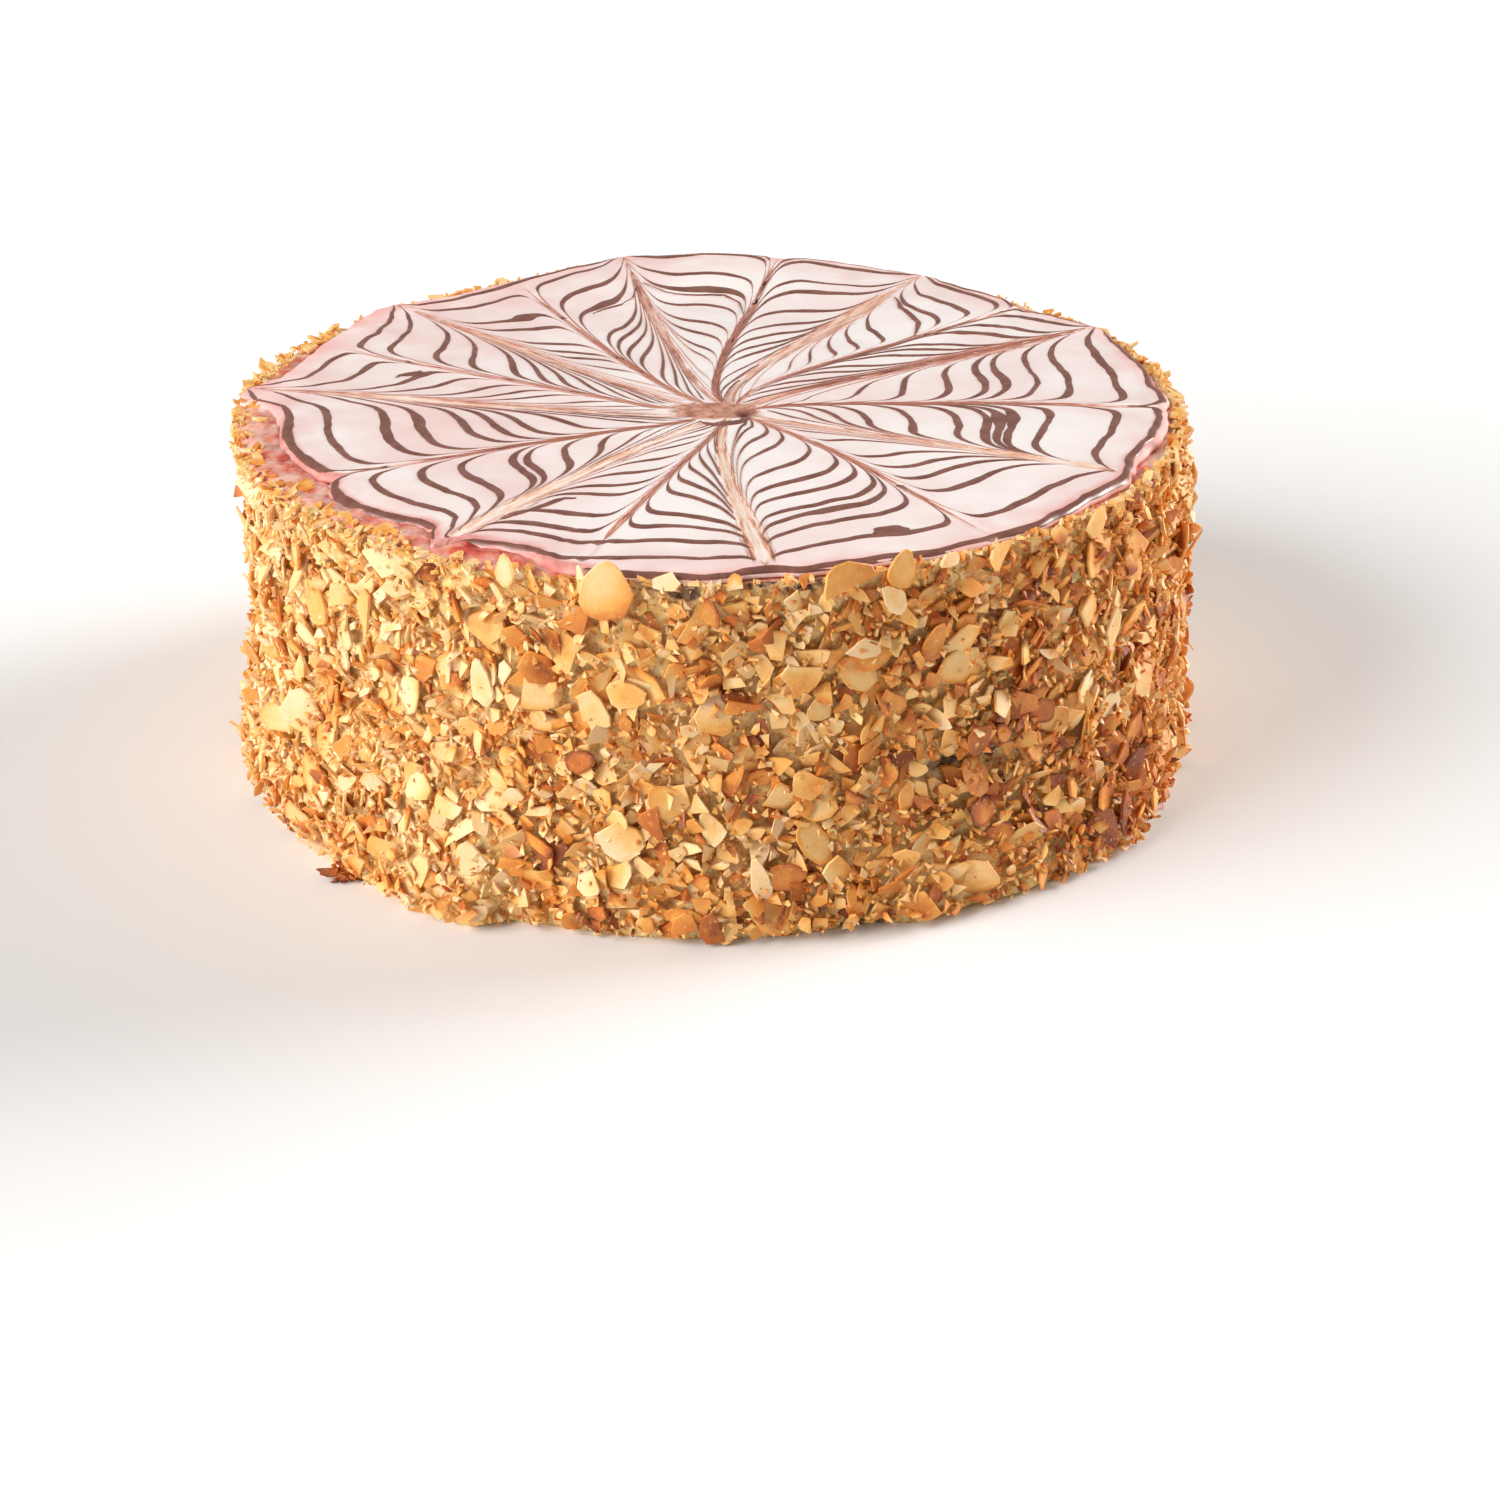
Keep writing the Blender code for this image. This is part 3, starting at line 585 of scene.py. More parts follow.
def pulled(share, number, t, width):
    """A share of the way out, once a stroke has drawn what lies beside it outward or inward.

    The share t is of the way to the next stroke, which is as far off as the width in mm.
    """
    room = np.maximum(STROKE_END[number] - share, 0.0)
    grip = (1.0 - np.exp(-room / PULL_GRIP)) * (1.0 - np.exp(-share / PULL_GRIP)) * (1.0 - t)
    off = t * width
    broad, broad_width, sharp, sharp_width = OUTWARD_PULL
    wide = broad * grip * np.exp(-off / np.minimum(broad_width, BROAD_REACH * width))
    near = (room - wide) * sharp * np.exp(-off / np.minimum(sharp_width, SHARP_REACH * width)) * (1.0 - t)
    near = near * (1.0 - np.exp(-share / PULL_GRIP))
    drawn_out = share + np.minimum(wide, room) + np.maximum(near, 0.0)
    broad, broad_width, sharp, sharp_width = INWARD_PULL
    reach = np.minimum(1.0 + INWARD_END_REACH * room, np.minimum(broad_width, BROAD_REACH * width))
    wide = broad * grip * np.exp(-off / reach)
    near = (share - wide) * sharp * grip * np.exp(-off / np.minimum(sharp_width, SHARP_REACH * width))
    return np.where(number % 2 == 1, drawn_out, share - wide - near)


def drawn_share(share, sector, t, width):
    """Where a share of the way ends up, once the strokes on both sides of it have passed."""
    return pulled(pulled(share, sector, t, width), sector + 1, 1.0 - t, width)


UNDRAWN_ROUNDS = 12  # of closing in on the share before the strokes
UNDRAWN_LIMITS = (0.01, 1.05)
POLAR_ROUNDS = 4  # of closing in on a place, since the strokes and the edge both bend


def undrawn_share(share, sector, width):
    """The share of the way that the strokes have drawn to this one, halfway between them."""
    before = share
    for _ in range(UNDRAWN_ROUNDS):
        before = np.clip(before + share - drawn_share(before, sector, 0.5, width), *UNDRAWN_LIMITS)
    return before


def web_polar(share, sector, t):
    """Angle and distance from the middle of the web, and the angle between the strokes on both sides."""
    reach = share * MEAN_REACH
    for _ in range(POLAR_ROUNDS):
        before, after = stroke_angle(sector, reach), stroke_angle(sector + 1, reach)
        angle = before + (after - before) * t
        reach = share * (MEAN_REACH + (edge_at(angle) - MEAN_REACH) * share**ROUNDNESS)
    return angle, reach, after - before


def web_columns():
    """Stroke number and share of the way to the next stroke, for each column round the web."""
    steps = [0.0, *STROKE_STEPS, 0.5, *(1.0 - step for step in reversed(STROKE_STEPS))]
    return np.repeat(np.arange(STROKE_COUNT), len(steps)), np.tile(steps, STROKE_COUNT)


def fondant_height(points):
    """The poured fondant's gentle unevenness at points on it."""
    return (0.55 * ripple(points, 32.0 * MM, 2.0) + 0.14 * ripple(points, 8.0 * MM, 4.0)) * MM


# How wet with jam the fondant's rim is: degrees, share.
WET_RIM = (
    (0.0, 0.15), (20.0, 0.25), (60.0, 0.1), (175.0, 0.1), (186.0, 0.9), (214.0, 0.9), (236.0, 0.8),
    (250.0, 0.9), (258.0, 0.15), (300.0, 0.2), (330.0, 0.7), (348.0, 0.6), (360.0, 0.3),
)
# Half the width of the stain along an outward stroke and along an inward one: mm out, mm.
STROKE_BAND = ((0.0, 0.6), (20.0, 0.8), (50.0, 1.2), (75.0, 1.9), (92.0, 1.6), (108.0, 0.4), (120.0, 0.3))
STROKE_LINE = ((0.0, 0.6), (20.0, 0.7), (60.0, 0.9), (85.0, 0.7), (100.0, 0.4), (120.0, 0.2))
BAND_TIMES = 1.6  # times half its width away from the stroke, the stain is gone
BAND_FADE = 0.06  # share of the way over which a stain fades out at its end
FURROW = (0.28, 0.8)  # mm deep, mm wide
FURROW_LIP = (0.12, 1.7, 0.7)  # mm high, mm from the stroke, mm wide
FONDANT_ROWS = 62
ROW_CROWDING = 0.9  # below 1, the rows lie closer together towards the edge
RED_BLOB = (14, 30.0)  # stroke number and mm from the middle
BLOB_HALF = 1.1  # mm
# The rumpled smear and the pinched hole at the middle, in mm from the middle of the web.
SMEAR_CENTRE = (-4.6, 1.4)
SMEAR_SIZE = (11.8, 6.2)
SMEAR_TURN = math.radians(-8.0)
SMEAR_RISE = 0.55
HOLE_CENTRE = (1.6, -0.6)
HOLE_SIZE = (3.0, 1.6)
HOLE_DEPTH = 1.5


def stain_half(number, reach):
    """Half the width of the stain along each stroke."""
    outward = number % 2 == 1
    half = np.where(outward, between(STROKE_BAND, reach / MM), between(STROKE_LINE, reach / MM))
    return half * STAIN_TIMES[number % STROKE_COUNT] * MM


def centre_marks(spots):
    """How much of the brown smear, and of the pinched hole, there is at points from the web's middle."""
    x, y = spots[..., 0] / MM - SMEAR_CENTRE[0], spots[..., 1] / MM - SMEAR_CENTRE[1]
    along = x * math.cos(SMEAR_TURN) + y * math.sin(SMEAR_TURN)
    across = y * math.cos(SMEAR_TURN) - x * math.sin(SMEAR_TURN)
    smear = np.exp(-((along / SMEAR_SIZE[0]) ** 2 + (across / SMEAR_SIZE[1]) ** 2) ** 1.5)
    x, y = spots[..., 0] / MM - HOLE_CENTRE[0], spots[..., 1] / MM - HOLE_CENTRE[1]
    return smear, np.exp(-((x / HOLE_SIZE[0]) ** 2) - (y / HOLE_SIZE[1]) ** 2)


def centre_relief(spots):
    """How far the rumpled smear stands up, and the hole goes down, at points from the web's middle."""
    smear, hole = centre_marks(spots)
    folds = np.array([0.45, 1.3, 1.0]) * spots
    swirl = 0.9 * ripple(folds, 2.6 * MM, 9.0) + 0.4 * ripple(folds, 1.2 * MM, 4.0)
    return (swirl * smear + SMEAR_RISE * smear - HOLE_DEPTH * hole) * MM


def fondant_sheet(finish):
    """The poured sheet, with a shallow furrow along each stroke and a rounded edge."""
    sector, t = web_columns()
    shares = np.linspace(0.0, 1.0, FONDANT_ROWS + 1)[1:] ** ROW_CROWDING
    sector, t, share = np.broadcast_arrays(sector, t, shares[:, None])
    angle, reach, width = web_polar(share, sector, t)
    rim_angle, rim_reach = angle[-1], reach[-1]
    level = shares * MEAN_REACH < MEAN_REACH - TOP_ROUND[0][0] * MM
    sector, t, share, angle, reach, width = (each[level] for each in (sector, t, share, angle, reach, width))
    number = sector + (t > 0.5)
    reach_mm = reach / MM
    across = np.minimum(t, 1.0 - t) * width * reach
    ending = STROKE_END[number % STROKE_COUNT] - share
    half = stain_half(number, reach)
    band = np.clip(1.0 - across / (BAND_TIMES * half), 0.0, 1.0) * smooth(0.0, BAND_FADE, ending)
    peach = STAIN_PEACH[number % STROKE_COUNT]
    from_middle = round_points(angle, reach, 0.0)
    smear, hole = centre_marks(from_middle)
    spots = from_web(angle, reach, FONDANT_FACE)
    relief = fondant_height(spots)
    furrow = FURROW[0] * np.exp(-((across / (FURROW[1] * MM)) ** 2))
    furrow = furrow * smooth(4.0, 14.0, reach_mm) * smooth(112.0, 100.0, reach_mm)
    lip_height, lip_place, lip_width = FURROW_LIP
    lip = lip_height * np.exp(-((across / MM - lip_place) / lip_width) ** 2) * smooth(8.0, 20.0, reach_mm)
    spots[..., 2] += relief + (lip - furrow) * MM + centre_relief(from_middle)
    rows = [spots]
    for inward, drop in TOP_ROUND[1:]:
        ring = from_web(rim_angle, rim_reach - inward * MM, FONDANT_FACE - drop * MM)
        ring[:, 2] += relief[-1] * (1.0 - drop / 2.0)
        rows.append(ring[None])
    rows += [from_web(rim_angle, rim_reach - inward * MM, FONDANT_FOOT)[None] for inward in UNDERSIDE]
    points, faces = closed_round(lean(np.concatenate(rows)))
    extra = len(rows) - 1
    columns = len(rim_angle)

    def whole(values, rest):
        """A mark from its values on the face, and what it is all the way down the edge and below."""
        return with_middles(np.concatenate([values, np.tile(rest, (extra, 1))]))

    on_stroke = (number == RED_BLOB[0]) & (across < BLOB_HALF * MM)
    blob = on_stroke * smooth(1.8, 0.6, np.abs(reach_mm - RED_BLOB[1]))
    wet = between(WET_RIM, np.degrees(rim_angle) % 360.0)
    pinkness = 0.45 * smooth(88.0, 112.0, np.hypot(spots[..., 0], spots[..., 1]) / MM)
    left = smooth(0.0, -60.0, spots[..., 0] / MM) * 0.35
    marks = {
        "across": whole(across / MM, across[-1] / MM),
        "along": whole(reach_mm, reach_mm[-1]),
        "stroke": whole(number, number[-1]),
        "band": whole(band, band[-1] * 0.5),
        "peach": whole(peach, peach[-1]),
        "smear": whole(smear, smear[-1]),
        "pinch": whole(np.clip(hole * 1.5 + blob, 0.0, 1.0), np.zeros(columns)),
        "pinkness": whole(np.clip(pinkness + left, 0.0, 1.0), np.full(columns, 0.9)),
        "wet": whole(wet * smooth(4.5, 2.5, (rim_reach - reach) / MM), wet),
    }
    return mesh_piece("fondant_sheet", points, faces, finish, marks)


LINE_WIDTH = 1.88 * MM
LINE_ACROSS = (-1.22, -1.0, -0.80, 0.0, 0.80, 1.0, 1.22)  # of half its width
LINE_RISE = (-0.10, 0.02, 0.16, 0.24, 0.16, 0.02, -0.10)  # mm
LINE_INSIDE = (0.0, 0.45, 1.0, 1.0, 1.0, 0.45, 0.0)  # how much of it is chocolate rather than bled edge
# Where a line is thick or thin: turn, degrees round the web, how far that reaches, how many times as wide.
SWELLINGS = (
    (3, 94.0, 5.5, 2.3), (1, 99.5, 2.5, 1.8), (3, 111.5, 3.5, 2.0), (2, 112.0, 4.0, 1.35),
    (1, 112.0, 6.0, 0.75), (0, 112.0, 7.0, 0.65), (2, 126.0, 1.7, 2.6), (3, 128.0, 5.0, 1.3),
    (2, 158.6, 1.8, 2.0), (0, 163.0, 6.0, 0.8), (2, 185.0, 10.0, 1.35), (0, 188.0, 12.0, 1.25),
    (3, 183.0, 6.0, 1.3), (0, 218.0, 8.0, 1.3), (3, 218.0, 8.0, 1.25), (2, 240.0, 4.0, 1.4),
    (3, 241.0, 4.0, 1.3), (0, 262.0, 9.0, 1.5), (2, 263.0, 8.0, 1.3), (0, 285.0, 8.0, 1.3),
    (3, 289.0, 5.0, 1.9), (0, 319.0, 9.0, 1.5), (1, 318.0, 8.0, 1.2), (3, 355.0, 3.5, 1.7),
    (4, 355.0, 3.5, 1.8), (5, 350.0, 6.0, 1.1), (1, 16.0, 10.0, 1.25), (3, 20.0, 8.0, 0.55),
    (3, 5.0, 3.0, 1.6), (4, 14.0, 8.0, 1.35), (5, 20.0, 6.0, 1.25), (0, 42.0, 7.0, 0.5),
    (3, 41.0, 4.0, 1.7), (0, 74.0, 6.0, 0.5), (2, 75.0, 6.0, 0.5), (3, 76.0, 3.0, 1.5),
    (8, 94.0, 8.0, 0.5),
)
LINE_MARGIN = 0.3 * MM  # how far inside the fondant's edge a line stays
LINE_SEED = 17
STRETCH_STEP = 0.004  # share of the way over which the drawing out is measured
DAB_STEPS = 8  # from each station to the next
DAB_LIFT = 0.09 * MM
TURN_STEP = 0.006 * MM  # each turn lies that much above the next one outward, where two touch
SINK = 1.2 * MM  # how far a line goes down where a stroke has covered it with fondant
THINNEST = (0.10, 0.35)  # share of its width at which a line is wholly thinned, and not at all


def turn_stations(turn, places):
    """How far out one turn of the spiral lay before the strokes, halfway between them, by their numbers."""
    row = turn + (places >= SPIRAL_START + STROKE_COUNT) - (places < SPIRAL_START)
    sector = places % STROKE_COUNT
    seen = np.array(RINGS)[np.clip(row, 0, len(RINGS) - 1), sector] / 100.0
    _, reach, gap = web_polar(seen, sector, 0.5)
    return undrawn_share(seen, sector, gap * reach / MM)


def ribbon(path, half, full, lift):
    """Rows of points along a line of chocolate, from one side of it to the other, laid on the fondant.

    Half is half its width, full says how much of its usual width that is, and lift is how far it lies up.
    """
    side = np.gradient(path[:, :2], axis=0)
    side = np.column_stack([-side[:, 1], side[:, 0]])
    side /= np.linalg.norm(side, axis=1)[:, None] + EPSILON
    inset, drop = np.array(TOP_ROUND[::-1]).T
    rows = []
    for away, rise in zip(LINE_ACROSS, LINE_RISE):
        flat = path[:, :2] + side * (half * away)[:, None]
        furthest = edge_at(np.arctan2(flat[:, 1], flat[:, 0])) - LINE_MARGIN
        flat *= np.minimum(1.0, furthest / (np.hypot(flat[:, 0], flat[:, 1]) + EPSILON))[:, None]
        points = np.column_stack([flat, np.full(len(flat), FONDANT_FACE)]) + (WEB_CENTRE - TOP_SHIFT)
        points[:, 2] += fondant_height(points) + rise * MM * (0.5 + 0.5 * full) + lift
        points[:, 2] -= HOLE_DEPTH * MM * centre_marks(flat)[1]
        edge = edge_at(np.arctan2(flat[:, 1], flat[:, 0]))
        inward = np.maximum(edge - np.hypot(flat[:, 0], flat[:, 1]), 0.0) / MM
        points[:, 2] -= np.interp(inward, inset, drop) * MM
        rows.append(points)
    return np.array(rows)


def swollen(swell, turn, degrees):
    """How wide a turn of the spiral is, once it is thicker, thinner or missing where the tables say."""
    for where, middle, spread, times in SWELLINGS:
        if where == turn:
            off = (degrees - middle + 180.0) % 360.0 - 180.0
            swell = swell * (1.0 + (times - 1.0) * np.exp(-((off / spread) ** 2)))
    for where, start, end in MISSING:
        if where == turn:
            swell = swell * (1.0 - smooth(start - 4.0, start, degrees) * smooth(end + 4.0, end, degrees))
    return swell


def spiral_turn(turn, rng):
    """One turn of the spiral, drawn to points by the strokes: its points and how thinned it is."""
    sector, t = web_columns()
    first = np.searchsorted(sector, SPIRAL_START)
    sector = np.append(np.roll(sector, -first), SPIRAL_START - 1)
    t = np.append(np.roll(t, -first), 1.0)
    along = sector + t + STROKE_COUNT * (sector < SPIRAL_START)
    places = np.arange(SPIRAL_START - 1, SPIRAL_START + STROKE_COUNT + 1)
    share = between(np.column_stack([places + 0.5, turn_stations(turn, places)]), along)
    plain_angle, reach, gap = web_polar(share, sector, t)
    wander = round_points(plain_angle, 20.0 * MM + 60.0 * MM * share, 0.0)
    offset = rng.uniform(0.0, 90.0)
    calm = smooth(0.0, 0.5, along - SPIRAL_START) * smooth(0.0, 0.5, SPIRAL_START + STROKE_COUNT - along)
    unsteady = 0.006 * ripple(wander, 14.0 * MM, offset) + 0.004 * ripple(wander, 4.0 * MM, offset)
    share = share + calm * unsteady
    width = gap * reach / MM
    ends = drawn_share(share, sector, t, width)
    stretch = (drawn_share(share + STRETCH_STEP, sector, t, width) - ends) / STRETCH_STEP
    angle, reach, _ = web_polar(ends, sector, t)
    path = round_points(angle, reach, 0.0)
    run = np.gradient(path[:, :2], axis=0)
    turning = np.abs(run[:, 1] * path[:, 0] - run[:, 0] * path[:, 1])
    crossing = turning / (np.linalg.norm(run, axis=1) * reach + EPSILON)
    full = np.clip(crossing * np.clip(stretch, 0.3, 1.25), 0.10, 1.2)
    swell = 1.0 + 0.34 * ripple(wander, 9.0 * MM, offset + 3.0) + 0.2 * ripple(wander, 3.0 * MM, offset + 7.0)
    swell = swollen(swell, turn, np.degrees(angle) % 360.0)
    if turn == 0:
        swell *= smooth(-0.02, 0.22, along - SPIRAL_START)
    slighter_inside = 0.72 + 0.28 * smooth(12.0, 50.0, reach / MM)
    number = sector + (t > 0.5)
    across = np.minimum(t, 1.0 - t) * gap * reach / stain_half(number, reach)
    covered = smooth(0.7, 0.35, across) * smooth(0.1, 0.5, STAIN_PEACH[number % STROKE_COUNT])
    ending = STROKE_END[number % STROKE_COUNT] - ends
    covered = covered * smooth(18.0, 34.0, reach / MM) * smooth(0.01, 0.06, ending)
    covered = np.maximum(covered, 1.0 - smooth(0.04, 0.2, swell))
    lift = turn * TURN_STEP - SINK * covered
    strip = ribbon(path, 0.5 * LINE_WIDTH * full * swell * slighter_inside, full, lift)
    return strip, 1.0 - smooth(*THINNEST, full)


def dab(stations):
    """A short line or dab beside the spiral: its points and how thinned it is."""
    stations = np.array(stations)
    steps = np.arange(len(stations))
    place = np.linspace(0.0, steps[-1], DAB_STEPS * steps[-1] + 1)
    spot, share = (np.interp(place, steps, column) for column in stations.T[:2])
    half = 0.5 * between(np.column_stack([steps, stations[:, 2]]), place) * MM
    angle, reach, _ = web_polar(share / 100.0, spot.astype(int), spot % 1.0)
    strip = ribbon(round_points(angle, reach, 0.0), half, np.ones_like(half), DAB_LIFT)
    return strip, np.zeros_like(half)


def chocolate_lines(finish):
    """The piped spiral and the dabs beside it, in one piece."""
    rng = np.random.default_rng(LINE_SEED)
    strips = [spiral_turn(turn, rng) for turn in range(len(RINGS))] + [dab(stations) for stations in DABS]
    points, faces, inside, drawn = [], [], [], []
    for strip, thinned in strips:
        rows, columns = strip.shape[:2]
        start = sum(len(each) for each in points)
        row, column = np.meshgrid(np.arange(rows - 1), np.arange(columns - 1), indexing="ij")
        here = start + row * columns + column
        quads = np.stack([here, here + columns, here + columns + 1, here + 1], axis=-1)
        faces += quads.reshape(-1, 4).tolist()
        points.append(strip.reshape(-1, 3))
        inside.append(np.repeat(LINE_INSIDE, columns))
        drawn.append(np.tile(thinned, rows))
    marks = {"inside": np.concatenate(inside), "drawn": np.concatenate(drawn)}
    return mesh_piece("chocolate_lines", lean(np.concatenate(points)), faces, finish, marks)


# ---------------------------------------------------------------- jam and cream

JAM_COLUMNS = 420
# The rows of the jam's face and edge: mm from the middle, mm down. Below them are two rows of its underside.
JAM_FACE_ROWS = ((50.0, 0.0), (92.0, 0.0), *((96.0 + 0.8 * i, 0.0) for i in range(23)))
JAM_EDGE_ROWS = ((114.6, 0.15), (115.0, 0.45), (115.1, 0.9))
JAM_UNDERSIDE = (113.8, 60.0)
BARE_RISE = 1.3  # mm that the jam stands up where it lies bare
BARE_TO_EDGE = (117.0, 110.5)  # mm from the middle, where that rise begins and is whole
# Where the jam lies bare: degrees, share. How red it pools: degrees, share.
BARE_LEFT = ((0.0, 0.0), (172.0, 0.0), (183.0, 1.0), (247.0, 1.0), (258.0, 0.0), (360.0, 0.0))
POOLS = (
    (0.0, 0.3), (180.0, 0.55), (184.0, 0.2), (196.0, 0.15), (203.0, 0.5), (210.0, 0.35), (222.0, 0.15),
    (236.0, 0.3), (242.0, 0.8), (251.0, 1.0), (262.0, 0.6), (360.0, 0.3),
)


def jam_layer(finish):
    """The thin jam under the fondant, lumpy and wet where it lies bare at the left."""
    turn = np.linspace(0.0, TAU, JAM_COLUMNS, endpoint=False)
    bare = between(BARE_LEFT, np.degrees(turn) % 360.0)
    rows = []
    for radius, drop in (*JAM_FACE_ROWS, *JAM_EDGE_ROWS):
        ring = round_points(turn, radius * MM, JAM_FACE - drop * MM)
        lump = 0.9 * ripple(ring, 5.5 * MM, 3.0) + 0.55 * ripple(ring, 2.2 * MM, 8.0)
        rise = BARE_RISE * smooth(100.0, 105.0, radius) * smooth(*BARE_TO_EDGE, radius)
        ring[:, 2] += bare * (lump + rise) * MM * smooth(90.0, 99.0, radius)
        wavy = 0.012 * ripple(ring, 6.0 * MM, 5.0) - 0.010
        ring[:, :2] *= (1.0 + bare * wavy * smooth(105.0, 114.0, radius))[:, None]
        rows.append(ring)
    rows += [round_points(turn, radius * MM, JAM_FOOT) for radius in JAM_UNDERSIDE]
    rows = np.array(rows)
    radii = np.hypot(rows[..., 0], rows[..., 1]) / MM
    pool = between(POOLS, np.degrees(turn) % 360.0)[None] * smooth(117.0, 104.0, radii)
    points, faces = closed_round(lean(rows))
    return mesh_piece("jam_layer", points, faces, finish, {"pool": with_middles(pool)})


COAT_RADIUS = 116.0 * MM
COAT_COLUMNS = 700
COAT_STEP = 1.05 * MM
LUMP_SIZE = 19.0 * MM
LUMP_OFFSET = np.array([3.1, 7.4, 1.9])
LIP_RADIUS = 115.9 * MM
HIGHEST_LIP = 84.0 * MM
HOLLOW = 0.016  # of the coat's radius, where the sponge is bare and where the shadow at the foot is painted
INNER_ROWS = (40.0, 90.0, 112.0)  # mm from the middle, under the fondant
UNDER_ROW = 60.0  # mm from the middle, on the base
# The top of the cream outside the fondant: degrees round the cake, upright height in mm.
LIP = (
    (0.0, 83.5), (20.0, 83.0), (60.0, 82.6), (140.0, 82.6), (155.0, 83.6), (172.0, 83.4), (182.0, 82.4),
    (247.0, 82.4), (256.0, 83.3), (330.0, 83.5), (360.0, 83.5),
)
# The coat's radius by its height, and how much more or less it is at the far left and right, all in mm.
COAT_PROFILE = ((0.0, 115.6), (25.0, 114.3), (71.0, 114.3), (79.5, 116.0), (84.0, 116.4))
LEFT_EXTRA = ((0.0, 0.3), (26.0, -0.6), (36.0, -2.7), (60.0, -3.1), (70.0, -4.0), (80.0, -3.4), (86.0, -2.4))
RIGHT_EXTRA = ((0.0, 0.2), (35.0, 1.2), (60.0, 1.6), (69.0, 1.3), (77.0, -1.0), (86.0, -1.7))
# How much further out the foot is: degrees round the cake, mm.
FOOT_EXTRA = (
    (0.0, 0.5), (150.0, 0.5), (180.0, 1.5), (191.0, 2.6), (203.0, 2.8), (212.0, 2.2), (222.0, 3.5),
    (230.0, 5.0), (238.0, 7.4), (243.0, 7.8), (247.0, 1.6), (252.0, 0.6), (262.0, 1.4), (287.0, 1.8),
    (293.0, 5.0), (299.0, 3.4), (306.0, 4.8), (314.0, 5.0), (320.0, 7.0), (328.0, 5.0), (338.0, 1.5),
    (350.0, 1.0), (360.0, 0.5),
)
# Dark sponge that shows through, and painted shadow under the overhang at the foot (the entries 1 and 2 mm
# up): degrees, height in mm, degrees it reaches, mm it reaches, how much.
SPONGE_AND_FOOT_SHADE = (
    (268.1, 82.0, 2.2, 3.0, 1.0), (275.6, 83.5, 3.0, 2.2, 1.0), (297.0, 35.0, 4.5, 4.0, 1.0),
    (262.0, 82.5, 6.0, 2.0, 0.7), (282.0, 82.0, 7.0, 2.5, 0.75), (252.0, 80.0, 2.0, 2.5, 0.6),
    # The entries at 287 degrees 1 mm up and at 204 degrees 2 mm up are painted shadow under the overhang at
    # the foot.
    (303.0, 34.0, 3.5, 2.5, 0.8), (236.0, 74.0, 1.6, 2.0, 0.8), (287.0, 1.0, 8.0, 1.6, 0.9),
    (204.0, 2.0, 5.0, 2.0, 0.8), (318.0, 62.0, 2.0, 3.0, 0.6), (226.0, 58.0, 1.2, 1.6, 0.9),
    (248.0, 33.0, 1.3, 1.3, 0.8), (90.0, 40.0, 5.0, 3.0, 0.8), (140.0, 70.0, 3.0, 3.0, 0.7),
    (30.0, 25.0, 3.0, 2.5, 0.8), (352.0, 60.0, 2.5, 3.0, 0.7), (60.0, 82.0, 4.0, 2.0, 0.8),
    (175.0, 35.0, 2.5, 3.0, 0.7), (120.0, 20.0, 3.0, 2.5, 0.7),
)


def sponge_and_foot_shade_at(degrees, level):
    """How bare of cream and almonds the sponge is, and how dark the painted shadow at the foot is, by degrees
    round the cake and mm up.
    """
    bare = np.zeros(np.broadcast(degrees, level).shape)
    for angle, height, wide, tall, much in SPONGE_AND_FOOT_SHADE:
        off = (degrees - angle + 180.0) % 360.0 - 180.0
        near = np.exp(-((off / wide) ** 2) - ((level - height) / tall) ** 2)
        bare = np.maximum(bare, much * near)
    return bare


def coat_radius(height, angle):
    """Radius of the coat without its lumps: flared at the foot, and fuller at the right than at the left."""
    level = height / MM
    right, left = np.maximum(np.cos(angle), 0.0), np.maximum(-np.cos(angle), 0.0)
    foot = between(FOOT_EXTRA, np.degrees(angle) % 360.0) * smooth(26.0, 2.0, level)
    sides = right * between(RIGHT_EXTRA, level) + left * between(LEFT_EXTRA, level)
    return (between(COAT_PROFILE, level) + sides + foot) * MM


def coat_lumps(points):
    """How far the cream stands out or in at points on the side."""
    large = 1.3 * ripple(points, LUMP_SIZE, LUMP_OFFSET)
    return (large + 0.9 * ripple(points, 6.5 * MM, 2.0)) * MM


